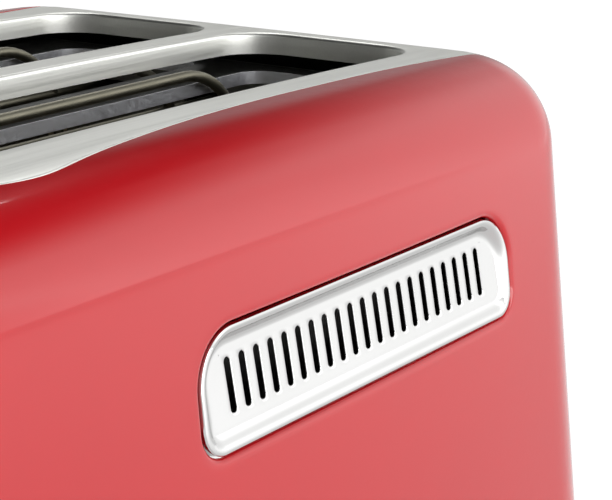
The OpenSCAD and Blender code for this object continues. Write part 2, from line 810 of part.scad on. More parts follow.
module bread_guard(y) {
    reach = 1.6;
    lo = slot_lo + 9;
    hi = slot_hi - 9;
    color("#b5b09a") {
        wire_along(front_x - sheet_t - reach, rear_x + sheet_t + reach, y, guard_low);
        wire_along(front_x - sheet_t - reach, rear_x + sheet_t + reach, y, guard_high);
        wire_along(lo - wire_d / 2, hi + wire_d / 2, y, guard_top);
        for (i = [0:wire_count - 1]) let (high = i == 0 || i == wire_count - 1 ? guard_top : guard_high)
            translate([lo + (hi - lo) * i / (wire_count - 1), y, guard_low])
                cylinder(d = wire_d, h = high - guard_low, $fn = 24);
    }
}
module left_outer_guard() {
    bread_guard(-outer_guard_y);
}
module left_inner_guard() {
    bread_guard(-inner_guard_y);
}
module right_inner_guard() {
    bread_guard(inner_guard_y);
}
module right_outer_guard() {
    bread_guard(outer_guard_y);
}

// Carriage
module bread_lifter(y) {
    reach = slot_hi - 4;
    web = 1.2;
    finger = 2 * (slot_y - inner_guard_y - guard_travel - wire_d / 2 - 0.75);
    color("#a9aba9") translate([0, y, 0]) {
        translate([back_x, -web / 2, lifter_z - 12]) cube([reach - back_x, web, 12]);
        for (x = [slot_lo + 6:10:reach - 4]) translate([x, -finger / 2, lifter_z - 1])
            cube([4, finger, 1]);
    }
}
module left_bread_lifter() {
    bread_lifter(-slot_y);
}
module right_bread_lifter() {
    bread_lifter(slot_y);
}
module rod_holes(clear) {
    for (y = [-1, 1]) translate([rod_x, y * rod_y, 0]) cylinder(r = rod_d / 2 + clear, h = far);
}
spring_x = back_x - carriage_t - 5;
spring_y = 18;
spring_d = 6;
hook_t = 1.2;
module carriage_bracket() {
    block = 8;
    color("#a2a4a2") difference() {
        union() {
            translate([back_x - carriage_t, -carriage_half, carriage_low])
                cube([carriage_t, 2 * carriage_half, carriage_high - carriage_low]);
            for (y = [-1, 1], z = [carriage_low + 2, carriage_high - 12])
                translate([back_x - 0.1, y * rod_y - block / 2, z])
                    cube([rod_x + 3.6 - back_x, block, 10]);
            translate([spring_x - 4, spring_y - 4, carriage_low + 2])
                cube([back_x - spring_x + 4 - carriage_t / 2, 8, hook_t]);
        }
        rod_holes(rod_gap);
    }
}
module guide_rods() {
    color("#d0d2d0") for (y = [-1, 1]) translate([rod_x, y * rod_y, bracket_low - 2])
        cylinder(d = rod_d, h = bracket_high - bracket_low + 4);
}
bracket_half = 24;
module rod_bracket(z, lip, reach) {
    color("#9b9d9b") difference() {
        union() {
            translate([reach, -bracket_half, z])
                cube([front_x - sheet_t - reach, 2 * bracket_half, sheet_t]);
            translate([front_x - 2 * sheet_t, -bracket_half, min(z, z + lip)])
                cube([sheet_t, 2 * bracket_half, abs(lip) + sheet_t]);
        }
        rod_holes(0.02);
    }
}
module upper_rod_bracket() {
    rod_bracket(bracket_high, 4, spring_x - 6);
}
module lower_rod_bracket() {
    rod_bracket(bracket_low, -1, rod_x - 6);
}
module return_spring() {
    low = carriage_low + 2 + hook_t;
    color("#b8b8b4") translate([spring_x, spring_y, low]) difference() {
        cylinder(d = spring_d, h = bracket_high - low);
        translate([0, 0, 2]) cylinder(d = spring_d - 2, h = bracket_high - low - 4);
    }
}
module lever_arm() {
    color("#a2a4a2") translate([lever_out - 8, -lever_t / 2, lever_z - lever_h / 2])
        cube([back_x - carriage_t - lever_out + 8, lever_t, lever_h]);
}
module lever_knob() {
    depth = 16;
    crown_r = 60;
    color("#232325") difference() {
        translate([lever_out, 0, lever_z]) rotate([0, -90, 0]) intersection() {
            linear_extrude(depth) round_rect(15, lever_w, 5);
            translate([0, 0, depth - crown_r]) rotate([90, 0, 0])
                cylinder(r = crown_r, h = far, center = true, $fn = 180);
        }
        translate([lever_out - 8, -lever_t / 2, lever_z - lever_h / 2]) cube([20, lever_t, lever_h]);
    }
}
module armature_plate() {
    color("#8f9190") {
        translate([magnet_x - 7, -9, armature_z])
            cube([back_x - carriage_t - magnet_x + 7, 18, armature_t]);
        translate([back_x - carriage_t - 1, -9, armature_z]) cube([1, 18, 8]);
    }
}
core_h = 14;
module magnet_core() {
    color("#70747a") translate([magnet_x, 0, magnet_top - core_h]) {
        for (y = [-1, 1]) translate([-6, y * 9 - 2.5, 0]) cube([12, 5, core_h]);
        translate([-6, -11.5, 0]) cube([12, 23, 3]);
        translate([-3, -3, 0]) cube([6, 6, core_h]);
    }
}
module magnet_coil() {
    color("#b5763a") translate([magnet_x, 0, magnet_top - core_h + 3]) linear_extrude(core_h - 4)
        difference() {
            round_rect(13, 12.6, 3);
            square(6, center = true);
        }
}
magnet_w = 28;
magnet_d = 16;
module magnet_bracket() {
    top = magnet_top - core_h;
    x = magnet_x - magnet_d / 2;
    color("#9b9d9b") {
        translate([x, -magnet_w / 2, top - sheet_t]) cube([magnet_d, magnet_w, sheet_t]);
        translate([x, -magnet_w / 2, base_top]) cube([sheet_t, magnet_w, top - base_top]);
        translate([x, -magnet_w / 2, base_top]) cube([magnet_d, magnet_w, sheet_t]);
    }
}
module power_switch() {
    color("#38383c") translate([magnet_x - magnet_d / 2 + sheet_t, -10, base_top + sheet_t]) {
        cube([12, 20, 22]);
        translate([3, 7, 22]) cube([6, 6, 3]);
    }
}
module chassis_screws() {
    seat = base_low + base_t - 1;
    color("#9a9a98") for (p = boss_spots) translate([p[0], p[1], seat])
        screw(screw_d, chassis_low + sheet_t + 1 - seat, 5.6, 1.8);
}

body_shell();
top_plate();
left_vent_grille();
right_vent_grille();
control_fascia();
panel_carrier();
base_skirt();
base_pan();
rubber_feet();
crumb_tray();
crumb_tray_handle();
cord_gland();
chamber_top_frame();
front_chassis_plate();
rear_chassis_plate();
left_reflector();
right_reflector();
left_heater_board();
centre_heater_board();
right_heater_board();
left_heater_ribbon();
centre_heater_ribbon();
right_heater_ribbon();
left_outer_guard();
left_inner_guard();
right_inner_guard();
right_outer_guard();
left_bread_lifter();
right_bread_lifter();
carriage_bracket();
guide_rods();
upper_rod_bracket();
lower_rod_bracket();
return_spring();
lever_arm();
lever_knob();
armature_plate();
magnet_core();
magnet_coil();
magnet_bracket();
power_switch();
control_board();
tact_switches();
browning_potentiometer();
potentiometer_shaft();
browning_knob();
cancel_button();
reheat_button();
defrost_button();
chassis_screws();
board_screws();
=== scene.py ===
"""Looks of a two-slot toaster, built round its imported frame."""

import json
import math

import bpy
from bpy.props import FloatProperty, FloatVectorProperty, IntProperty, PointerProperty
from mathutils import Matrix, Vector


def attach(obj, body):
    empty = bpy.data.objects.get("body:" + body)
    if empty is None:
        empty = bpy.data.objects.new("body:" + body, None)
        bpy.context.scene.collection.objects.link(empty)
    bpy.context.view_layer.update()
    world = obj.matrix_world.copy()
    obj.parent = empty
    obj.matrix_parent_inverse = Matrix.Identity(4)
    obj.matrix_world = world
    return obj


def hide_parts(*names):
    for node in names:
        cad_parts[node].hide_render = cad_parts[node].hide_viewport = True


bl_info = {
    "name": "Red toaster",
    "version": (1, 0, 0),
    "blender": (4, 5, 0),
    "location": "3D View > Sidebar > Toaster",
    "description": "Models and finishes the pieces of a two-slot toaster on its packed frame",
    "category": "Object",
}

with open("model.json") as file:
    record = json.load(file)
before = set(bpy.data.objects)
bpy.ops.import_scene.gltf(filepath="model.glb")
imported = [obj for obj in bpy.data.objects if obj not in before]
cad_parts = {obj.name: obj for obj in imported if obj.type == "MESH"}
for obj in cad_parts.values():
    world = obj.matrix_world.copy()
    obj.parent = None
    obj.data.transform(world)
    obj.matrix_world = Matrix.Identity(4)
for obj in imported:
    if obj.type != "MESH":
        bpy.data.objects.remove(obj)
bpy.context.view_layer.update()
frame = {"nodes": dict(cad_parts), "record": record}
MM = 0.001
WELD = 2e-6


def length(label, text, millimetres):
    return FloatProperty(name=label, description=text, default=millimetres * MM, unit="LENGTH", precision=5)


def angle(label, text, degrees):
    return FloatProperty(name=label, description=text, default=math.radians(degrees), subtype="ANGLE")


def count(label, text, number, least, most):
    return IntProperty(name=label, description=text, default=number, min=least, max=most)


def colour(label, text, rgb):
    return FloatVectorProperty(name=label, description=text, default=rgb, subtype="COLOR", min=0, max=1)


class BodySizes(bpy.types.PropertyGroup):
    """Sizes of the painted body shell."""

    crest_z: length("Crest height", "Height of the top plate's crest above the table", 186)
    mid_x: length("Middle", "X of the middle of the body", 6.6)
    crest_len: length("Crest half length", "From the middle to each end of the crest line", 87.5)
    crest_half: length("Crest half width", "Half width of the crest line at the middle", 52)
    roll_r: length("Side roll", "Radius of the roll from the crest to the long sides", 16.2)
    end_roll_r: length("End roll", "Radius of the roll from the crest to the ends", 12)
    corner_r: length("Crest corner", "Radius of the crest line at the corners", 4.5)
    side_r: length("Side bow", "Radius of the bowed long sides in plan", 2500)
    draft: angle("Lean", "Angle by which the sides lean inwards", 5.38)
    end_lean: angle("End bow", "Angle that each half of an end's bow turns through", 2)
    arch_k: FloatProperty(name="Arch", description="Drop of the arch per square metre", default=0.153)
    shell_low: length("Lower edge", "Height of the shell's lower edge", 22)
    sheet: length("Sheet", "Thickness of the pressed sheet", 0.8)
    lip: length("Vent lip", "Radius of the lip rolled into the vent's hole", 1)
    fascia_z: length("Fascia middle", "Height of the middle of the fascia", 100)
    fascia_w: length("Fascia width", "Width of the control fascia", 72)
    fascia_h: length("Fascia height", "Height of the control fascia", 132)


class PlateSizes(bpy.types.PropertyGroup):
    """Sizes of the top plate and its bread slots."""

    half: length("Half width", "Half width of the plate along its waist", 48)
    end: length("Plain end", "Distance of the plain end from the middle of the body", 91.6)
    flare_at: length("Flare start", "Where the edge starts to flare towards the lever end", 32)
    end_flare_at: length("End flare start", "Where the edge starts to flare towards the plain end", 50)
    flare_r: length("Flare radius", "Radius of both flares", 255)
    flare_len: length("Flare length", "Length of the flare towards the lever end", 56)
    flare_corner: length("Flared corner", "Radius of the corners at the flared end", 26)
    plain_corner: length("Plain corner", "Radius of the corners at the plain end", 5)
    edge_r: length("Edge round", "Radius of the plate's turned-down edge", 0.45)
    rim: length("Rim depth", "Depth of the plate's turned-down rim", 4)
    gap: length("Seam", "Gap between the plate and the shell", 0.25)
    slot_at: length("Slot middle", "Distance of the middle of the slots from the middle of the body", 20.5)
    slot_len: length("Slot length", "Length of a bread slot", 128)
    slot_w: length("Slot width", "Width of a bread slot", 38)
    slot_bar: length("Slot bar", "Width of the bar between the slots", 6.5)
    slot_corner: length("Slot corner", "Corner radius of a slot", 9)
    slot_round: length("Slot round", "Radius of the slot's turned-down edge", 0.7)
    slot_flange: length("Slot flange", "Depth of the flange round a slot", 3.9)
    sheet: length("Sheet", "Thickness of the plate", 0.7)


class VentSizes(bpy.types.PropertyGroup):
    """Sizes of the slotted side vents."""

    length: length("Length", "Length of the vent's hole", 84.6)
    height: length("Height", "Height of the vent's hole", 17.9)
    corner: length("Upper corner", "Radius of the upper corners of the vent's hole", 8.5)
    low_corner: length("Lower corner", "Radius of the lower corners of the vent's hole", 4.4)
    at: length("Middle", "Distance of the vent's middle from the middle of the body", 26)
    drop: length("Drop", "Depth of the vent's middle below the crest", 31.6)
    depth: length("Dish depth", "Depth of the dish's floor behind the wall", 1.75)
    pitch: length("Slit pitch", "Pitch of the slits", 3.39)
    slit_w: length("Slit width", "Width of a slit", 1.42)
    slit_len: length("Slit length", "Length of a slit", 7.8)
    slits: count("Slits", "Number of slits in a vent", 21, 5, 31)
    sheet: length("Sheet", "Thickness of the dish", 0.5)


class GuardSizes(bpy.types.PropertyGroup):
    """Sizes of the wire bread guards."""

    wire: length("Wire", "Diameter of the wire", 2)
    bend: length("Bend", "Radius of the top wire's bends", 16)
    inset: length("Inset", "Distance of the end uprights from the slot's ends", 9)
    high: length("Upper rail", "Height of the upper rail above the table", 170.1)
    uprights: count("Uprights", "Number of uprights in a guard", 7, 5, 9)


class DialSizes(bpy.types.PropertyGroup):
    """Sizes of the browning scale."""

    drop: length("Drop", "Distance of the knob's axis below the middle of the fascia", 44)
    ring: length("Ring", "Distance of the ticks' middles from the knob's axis", 20.6)
    tick: length("Tick", "Length of a tick", 2.2)
    figure: length("Figure", "Height of the numbers", 3.8)
    pointer: length("Pointer", "Length of the pale pointer on the knob", 6.8)
    pointer_at: length("Pointer place", "Distance of the pointer's middle from the knob's axis", 12.5)
    ink: length("Ink", "Thickness of the print", 0.05)
    sweep: angle("Sweep", "Angle from the middle of the scale to each end", 135)
    steps: count("Steps", "Number of steps on the scale", 7, 3, 9)


class Finishes(bpy.types.PropertyGroup):
    """Colours of the toaster's finishes."""

    red: colour("Red enamel", "Colour of the painted body", (0.6, 0.008, 0.014))
    plate: colour("Plate steel", "Colour of the brushed stainless plate", (0.86, 0.865, 0.825))
    vent: colour("Vent steel", "Colour of the bright vent", (0.545, 0.545, 0.54))
    # The inside is bare sheet kept dark as painted shade, since little light gets in; the same finish paints
    # shade on the vents' slit walls and backs and on the inner frame's tops.
    inside: colour("Inside", "Colour of the unpainted inside of the body", (0.12, 0.12, 0.115))
    sheet_steel: colour("Chassis sheet", "Colour of the inner sheets", (0.3, 0.3, 0.29))
    wire: colour("Guard wire", "Colour of the bread guards", (0.18, 0.17, 0.13))
    black: colour("Black plastic", "Colour of the base and the controls", (0.018, 0.018, 0.02))
    rubber: colour("Rubber", "Colour of the feet", (0.02, 0.02, 0.021))


class StageSizes(bpy.types.PropertyGroup):
    """Camera and backdrop."""

    eye: FloatVectorProperty(
        name="Eye",
        description="Place of the camera",
        default=(-0.20211, -0.22079, 0.24173),
        subtype="XYZ",
        precision=5,
    )
    yaw: angle("Yaw", "Heading of the camera from +X towards +Y", 34.8916)
    pitch: angle("Pitch", "Angle by which the camera looks down", 15.2317)
    lens: FloatProperty(name="Lens", description="Focal length on a 36 mm sensor, in mm", default=115.58)
    floor: colour("Floor", "Colour of the floor and backdrop", (0.86, 0.86, 0.86))


def sizes(name):
    return getattr(bpy.context.scene, "toaster_" + name)


# Plan outlines


def spread(first, last, steps):
    """Values or vectors at even steps from the first to the last, both of them included."""
    return [first + (last - first) * i / steps for i in range(steps + 1)]


def round_rect(long, tall, corner, low_corner=None, steps=24):
    """Rounded rectangle about the origin as a list of plan points, anticlockwise."""
    points = []
    for k, (sx, sy) in enumerate(((1, 1), (-1, 1), (-1, -1), (1, -1))):
        r = corner if sy > 0 or low_corner is None else low_corner
        for t in spread(math.pi / 2 * k, math.pi / 2 * (k + 1), steps):
            points.append((sx * (long / 2 - r) + r * math.cos(t), sy * (tall / 2 - r) + r * math.sin(t)))
    return points


def vent_outline(grow):
    """Outline of the vent's hole, grown or drawn in, in the vent's own frame."""
    v, least = sizes("vent"), 0.8 * MM
    corners = (max(least, r + grow) for r in (v.corner, v.low_corner))
    return round_rect(v.length + 2 * grow, v.height + 2 * grow, *corners)


def vent_loop(points, grow):
    """Points on the grown outline of the vent's hole that answer to the given points."""
    v = sizes("vent")
    spine = v.length / 2 - v.height / 2
    return matched(points, vent_outline(grow), (-spine, spine, 0))


def cast(outline, start, way):
    """Furthest point where the ray from start along way meets the closed outline."""
    best = None
    parallel, slack = 1e-12, 1e-6
    px, py = outline[-1]
    for qx, qy in outline:
        ex, ey = qx - px, qy - py
        cross = way[0] * ey - way[1] * ex
        if abs(cross) > parallel:
            t = ((px - start[0]) * ey - (py - start[1]) * ex) / cross
            u = ((px - start[0]) * way[1] - (py - start[1]) * way[0]) / cross
            if t > 0 and -slack <= u <= 1 + slack and (best is None or t > best):
                best = t
        px, py = qx, qy
    if best is None:
        raise RuntimeError(f"a ray from {start} along {way} misses its outline")
    return start[0] + best * way[0], start[1] + best * way[1]


def matched(points, outline, spine):
    """Points on the outline that answer to the given points, along rays from the spine lo..hi on y."""
    lo, hi, y = spine
    found = []
    for p in points:
        start = (min(max(p[0], lo), hi), y)
        found.append(cast(outline, start, (p[0] - start[0], p[1] - start[1])))
    return found


def normals(outline):
    """Outward unit normals of a closed anticlockwise outline at its points."""
    out = []
    for a, b in zip([outline[-1], *outline], [*outline[1:], outline[0]]):
        d = math.dist(a, b)
        out.append(((b[1] - a[1]) / d, (a[0] - b[0]) / d))
    return out


def grown(outline, by):
    return [(p[0] + by * n[0], p[1] + by * n[1]) for p, n in zip(outline, normals(outline))]


def walked(line, step):
    """Points along an open line at about the given step, with the line's own points among them."""
    out = [line[0]]
    for a, b in zip(line, line[1:]):
        parts = max(1, round(math.dist(a, b) / step))
        out += [between(a, b, share) for share in spread(0, 1, parts)[1:]]
    return out


def walked_box(wide, high, step):
    """Points at about the given step round a rectangle of the given half sizes, anticlockwise."""
    return walked([(wide, -high), (wide, high), (-wide, high), (-wide, -high), (wide, -high)], step)[:-1]


def between(a, b, share):
    return tuple(x + (y - x) * share for x, y in zip(a, b))


# Body surface


class BodyForm:
    """Outer surface of the body: bowed sides, rolled top edges, leaning walls and an arched crest."""

    def __init__(self):
        p = self.p = sizes("body")
        self.mid = p.mid_x
        self.side_o = (0.0, p.side_r - p.crest_half)
        reach = p.crest_len - p.corner_r - p.crest_half * math.sin(p.end_lean) / 2
        self.side_a = math.asin(reach / (p.side_r - p.corner_r))
        inner = p.side_r - p.corner_r
        self.corner_o = (inner * math.sin(self.side_a), self.side_o[1] - inner * math.cos(self.side_a))
        self.turn_a = math.pi / 2 - p.end_lean
        back = -self.corner_o[1] / math.cos(self.turn_a)
        self.end_o = (self.corner_o[0] - back * math.sin(self.turn_a), 0.0)
        self.end_r = back + p.corner_r

    def arch(self, x, z):
        share = (z - self.p.shell_low) / (self.p.crest_z - self.p.shell_low)
        return self.p.arch_k * (x - self.mid) ** 2 * max(0.0, share)

    def arc(self, a):
        if abs(a) <= self.side_a:
            return self.side_o, self.p.side_r
        if abs(a) <= self.turn_a:
            return self.corner_o, self.p.corner_r
        return self.end_o, self.end_r

    def roll(self, a):
        t = min(1.0, max(0.0, (abs(a) - self.side_a) / (self.turn_a - self.side_a)))
        return self.p.roll_r + (self.p.end_roll_r - self.p.roll_r) * t * t * (3 - 2 * t)

    def plan(self, a, out, side=1):
        """Plan point at a distance outside the crest line; side -1 is the +Y half."""
        (cx, cy), r = self.arc(a)
        x = math.copysign(1.0, a) * cx + (r + out) * math.sin(a)
        return self.mid + x, side * (cy - (r + out) * math.cos(a))

    def lowered(self, x, y, z):
        return Vector((x, y, z - self.arch(x, z)))

    def rolled(self, a, turn, side=1):
        """Point on the roll, where turn is 90 degrees at the crest."""
        r = self.roll(a)
        x, y = self.plan(a, r * math.cos(turn), side)
        return self.lowered(x, y, self.p.crest_z - r + r * math.sin(turn))

    def wall_top(self, a):
        r = self.roll(a)
        return self.p.crest_z - r + r * math.sin(self.p.draft)

    def wall(self, a, z, side=1, inset=0.0):
        r = self.roll(a)
        out = (r - inset) * math.cos(self.p.draft) + (self.wall_top(a) - z) * math.tan(self.p.draft)
        x, y = self.plan(a, out, side)
        return self.lowered(x, y, z)

    def top(self, x, y):
        """Point on the top or the upper roll above a plan point."""
        px, py = abs(x - self.mid), -abs(y)
        a = math.atan2(px, self.side_o[1] - py)
        out = math.hypot(px, self.side_o[1] - py) - self.p.side_r
        if a > self.side_a:
            a = math.atan2(px - self.corner_o[0], self.corner_o[1] - py)
            out = math.hypot(px - self.corner_o[0], self.corner_o[1] - py) - self.p.corner_r
            if not self.side_a <= a <= self.turn_a:
                a = math.atan2(px - self.end_o[0], -py)
                out = math.hypot(px - self.end_o[0], py) - self.end_r
        r = self.roll(a)
        z = self.p.crest_z if out <= 0 else self.p.crest_z - r + math.sqrt(max(0.0, r * r - out * out))
        return self.lowered(x, y, z)

    def lever_end(self, z):
        return self.wall(-math.pi / 2, z).x


def fascia_frame(form):
    """Matrix of the control fascia: X up it, Z straight out of it."""
    p = form.p
    turn = Matrix.Rotation(p.draft - math.pi / 2, 4, "Y")
    return Matrix.Translation((form.lever_end(p.fascia_z), 0, p.fascia_z)) @ turn


def vent_frame(form, side=1):
    """Matrix of a vent: X along the body, Z straight out of the wall; side -1 is the +Y half."""
    p, v = form.p, sizes("vent")
    a = math.asin(v.at / p.side_r)
    spot = form.wall(a, p.crest_z - v.drop)
    m = Matrix.Translation((spot.x, spot.y, p.crest_z - v.drop - p.arch_k * v.at**2))
    m = m @ Matrix.Rotation(a, 4, "Z") @ Matrix.Rotation(math.pi / 2 - p.draft, 4, "X")
    return m if side > 0 else Matrix.Scale(-1, 4, (0, 1, 0)) @ m


def plate_outline():
    """Outline of the top plate, anticlockwise."""
    p, mid = sizes("plate"), sizes("body").mid_x
    corner_run = 1.1 * p.plain_corner
    run = p.end - corner_run - p.end_flare_at
    tilt = math.atan(run / p.flare_r)
    lean = math.atan(p.flare_len / p.flare_r)
    plain_y = p.half + run**2 / (2 * p.flare_r) - p.plain_corner * math.cos(tilt)
    plain_x = p.end_flare_at + run + p.plain_corner * math.sin(tilt)
    flare_x = p.flare_at - p.flare_len - p.flare_corner * math.sin(lean)
    flare_y = p.half + p.flare_len**2 / (2 * p.flare_r) - p.flare_corner * math.cos(lean)

    def corner(x, y, r, turn):
        return x + r * math.cos(turn), y + r * math.sin(turn)

    def flare(start, out):
        return start + out, p.half + out * out / (2 * p.flare_r)

    plain_steps, end_steps, flare_steps, flared_steps = 12, 16, 28, 24
    turns = spread(0, math.pi / 2 + tilt, plain_steps)
    edge = [corner(plain_x, plain_y, p.plain_corner, t) for t in turns]
    edge += [flare(p.end_flare_at, out) for out in spread(run, 0, end_steps)[1:]]
    edge += [flare(p.flare_at, out) for out in spread(0, -p.flare_len, flare_steps)]
    turns = spread(math.pi / 2 - lean, math.pi, flared_steps)[1:]
    edge += [corner(flare_x, flare_y, p.flare_corner, t) for t in turns]
    half = [(mid + x, y) for x, y in edge]
    return half + [(x, -y) for x, y in reversed(half)]


# Modelling steps


def deselect():
    if bpy.context.mode != "OBJECT":
        bpy.ops.object.mode_set(mode="OBJECT")
    bpy.ops.object.select_all(action="DESELECT")


def only(piece):
    deselect()
    piece.select_set(True)
    bpy.context.view_layer.objects.active = piece
    return piece


def made(add, **values):
    """Adds an object by one of Blender's operators."""
    deselect()
    add(**values)
    return bpy.context.object


def linked(name, data):
    """New object in the scene that shows the given data."""
    piece = bpy.data.objects.new(name, data)
    bpy.context.scene.collection.objects.link(piece)
    return piece


def edit(piece, *steps):
    """Runs modelling steps on the whole of a piece in edit mode."""
    only(piece)
    bpy.ops.object.mode_set(mode="EDIT")
    bpy.ops.mesh.select_all(action="SELECT")
    for step in steps:
        step()
    bpy.ops.object.mode_set(mode="OBJECT")
    return piece


def weld():
    bpy.ops.mesh.remove_doubles(threshold=WELD)


def face_out():
    bpy.ops.mesh.normals_make_consistent(inside=False)


def loft(name, rows):
    """Grid whose rows of vertices lie on the given closed rows of points, welded into a skin."""
    cells = {"x_subdivisions": len(rows[0]), "y_subdivisions": len(rows) - 1}
    piece = made(bpy.ops.mesh.primitive_grid_add, **cells)
    piece.name = name
    laid = [c for row in rows for p in (*row, row[0]) for c in p]
    piece.data.vertices.foreach_set("co", laid)
    piece.data.update()
    return edit(piece, weld)


# Run along a wire from its end, and share of the full radius there, in radii of the wire
EASED_END = ((0.0, 0.0), (0.3, 0.75), (0.55, 1.0))


def tube(path, r, sides=16):
    """Round wire with eased ends along a path in an upright plane along X."""
    rows = []
    ends = len(path) - 1
    turns = spread(0, math.tau, sides)[:-1]
    for i, p in enumerate(path):
        way = (path[min(i + 1, ends)] - path[max(i - 1, 0)]).normalized()
        across = Vector((-way.z, 0, way.x))
        ring = [across * math.cos(t) + Vector((0, math.sin(t), 0)) for t in turns]
        ease = EASED_END if i in (0, ends) else ((0.0, 1.0),)
        along = way * r * (1 if i == 0 else -1)
        row = [[p + along * run + v * r * share for v in ring] for run, share in ease]
        rows += row if i == 0 else row[::-1]
    return edit(loft("wire", rows), face_out)


def faced(piece, centre):
    """Turns a skin's faces so that they look away from the given point."""
    edit(piece, face_out)
    if sum((f.center - centre).dot(f.normal) * f.area for f in piece.data.polygons) < 0:
        edit(piece, bpy.ops.mesh.flip_normals)
    return piece


def drop_faces(piece, chosen):
    """Deletes the faces whose centres are chosen."""
    only(piece)
    mesh = piece.data
    bpy.context.tool_settings.mesh_select_mode = (False, False, True)
    for parts in (mesh.vertices, mesh.edges):
        parts.foreach_set("select", [False] * len(parts))
    for face in mesh.polygons:
        face.select = chosen(face.center)
    bpy.ops.object.mode_set(mode="EDIT")
    bpy.ops.mesh.delete(type="FACE")
    bpy.ops.object.mode_set(mode="OBJECT")
    bpy.context.tool_settings.mesh_select_mode = (True, False, False)


def joined(name, pieces):
    deselect()
    for piece in pieces:
        piece.select_set(True)
    bpy.context.view_layer.objects.active = pieces[0]
    if len(pieces) > 1:
        bpy.ops.object.join()
    piece = bpy.context.object
    piece.name = piece.data.name = name
    return edit(piece, weld)


def modified(piece, kind, **values):
    """Adds a modifier, sets its values and applies it."""
    only(piece)
    step = piece.modifiers.new(kind.lower(), kind)
    for key, value in values.items():
        setattr(step, key, value)
    bpy.ops.object.modifier_apply(modifier=step.name)
    return piece


def smoothed(piece, degrees=35):
    only(piece)
    bpy.ops.object.shade_smooth_by_angle(angle=math.radians(degrees))
    return piece


def placed(piece, matrix):
    """Lays a piece made in a local frame on the body, with its place in its mesh."""
    only(piece)
    piece.matrix_world = matrix
    bpy.ops.object.transform_apply(location=True, rotation=True, scale=True)
    if matrix.determinant() < 0:
        edit(piece, bpy.ops.mesh.flip_normals)
    return piece


def carried(piece, body, slot, *nodes):
    """Gives a piece its body and the solids that it stands for; the slot is not used."""
    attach(piece, body)
    if nodes:
        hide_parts(*nodes)
    return piece


def dressed(piece, body, slot, finish, *nodes):
    """Gives a piece its finish and carries it on its body."""
    piece.data.materials.clear()
    piece.data.materials.append(finish)
    return carried(piece, body, slot, *nodes)


def eased_copy(node, finish, width):
    """Copy of a solid with its sharp edges rounded, which stands for it."""
    piece = linked(node + "_eased", frame["nodes"][node].data.copy())
    piece.data.name = piece.name
    flat, sharp = math.radians(0.5), math.radians(40)
    edit(piece, weld, lambda: bpy.ops.mesh.dissolve_limited(angle_limit=flat))
    modified(piece, "BEVEL", width=width, segments=3, limit_method="ANGLE", angle_limit=sharp)
    smoothed(piece, 42)
    modified(piece, "WEIGHTED_NORMAL", weight=80, keep_sharp=True)
    return dressed(piece, body_of(node), slot_of(node), finish, node)


def body_of(node):
    return next(b for b, members in frame["record"]["behaviour"]["bodies"].items() if node in members)


def slot_of(node):
    return next(s["material_slot"] for s in frame["record"]["subparts"] if s["node"] == node)


# Finishes


class Tree:
    """Node tree with short ways to add its nodes and to feed them."""

    def __init__(self, owner):
        owner.use_nodes = True
        self.tree = owner.node_tree

    def found(self, kind):
        return next(n for n in self.tree.nodes if n.type == kind)

    def fed(self, node, inputs):
        """Gives each named or numbered input of a node a value or a link."""
        for key, value in inputs.items():
            if isinstance(value, bpy.types.NodeSocket):
                self.tree.links.new(value, node.inputs[key])
            else:
                node.inputs[key].default_value = value
        return node

    def add(self, kind, inputs=None, **settings):
        node = self.tree.nodes.new("ShaderNode" + kind)
        for key, value in settings.items():
            setattr(node, key, value)
        return self.fed(node, inputs or {})

    def ranged(self, value, low, high, out_low, out_high, curve="LINEAR"):
        inputs = {"Value": value, "From Min": low, "From Max": high, "To Min": out_low, "To Max": out_high}
        return self.add("MapRange", inputs, interpolation_type=curve).outputs["Result"]

    def reckoned(self, kind, *values):
        return self.add("Math", dict(enumerate(values)), operation=kind).outputs[0]

    def blended(self, share, first, second):
        return self.add("Mix", {0: share, 2: first, 3: second}).outputs[0]


class Finish(Tree):
    """Node tree of a new finish, with its shader and object coordinates at hand."""

    def __init__(self, finish):
        super().__init__(finish)
        self.shader = self.found("BSDF_PRINCIPLED")
        self.place = self.add("TexCoord").outputs["Object"]

    def set(self, **values):
        self.fed(self.shader, {key.replace("_", " "): value for key, value in values.items()})

    def noise(self, scale, detail=3.0, vector=None, rough=0.55):
        inputs = {"Vector": vector or self.place, "Scale": scale, "Detail": detail, "Roughness": rough}
        return self.add("TexNoise", inputs).outputs["Fac"]

    def cells(self, scale):
        return self.add("TexVoronoi", {"Vector": self.place, "Scale": scale}).outputs["Distance"]

    def tinted(self, value, rgb, dark, light):
        """Colour that runs from a darker to a lighter shade of the given one."""
        ends = {6: (*shaded(rgb, dark), 1), 7: (*shaded(rgb, light), 1)}
        self.set(Base_Color=self.add("Mix", {0: value, **ends}, data_type="RGBA").outputs[2])

    def roughened(self, value, least, most, low=0.3, high=0.7):
        """Roughness that runs from least to most as the value runs from low to high."""
        self.set(Roughness=self.ranged(value, low, high, least, most))

    def bumped(self, value, strength, reach):
        inputs = {"Strength": strength, "Distance": reach, "Height": value}
        self.set(Normal=self.add("Bump", inputs).outputs["Normal"])


def shaded(rgb, factor):
    return tuple(min(1.0, c * factor) for c in rgb)


def enamel(n, rgb):
    """Stoved gloss paint with a fine orange peel and faint unevenness of colour."""
    n.set(Specular_IOR_Level=0.05, Coat_Weight=1.0, Coat_Roughness=0.07, Coat_IOR=1.52)
    n.tinted(n.noise(30, 2), rgb, dark=0.94, light=1.05)
    n.roughened(n.noise(420), least=0.28, most=0.34)
    n.bumped(n.noise(900, 2), strength=0.06, reach=0.0002)


def brushed(n, rgb, rough=0.3, along="X", grain=1.0):
    """Sheet metal brushed along one axis, with streaks in its colour, roughness and relief."""
    along_scale, across_scale = 25, 2600
    scale = [along_scale if axis == along else across_scale for axis in "XYZ"]
    lengthwise = n.add("Mapping", {"Vector": n.place, "Scale": scale}).outputs["Vector"]
    streaks = n.noise(1.0, 4, lengthwise, 0.65)
    n.set(Metallic=1.0)
    n.tinted(streaks, rgb, dark=0.9, light=1.06)
    n.roughened(streaks, rough * 0.85, rough * 1.2, low=0.25, high=0.75)
    n.bumped(streaks, strength=0.12 * grain, reach=0.00008)


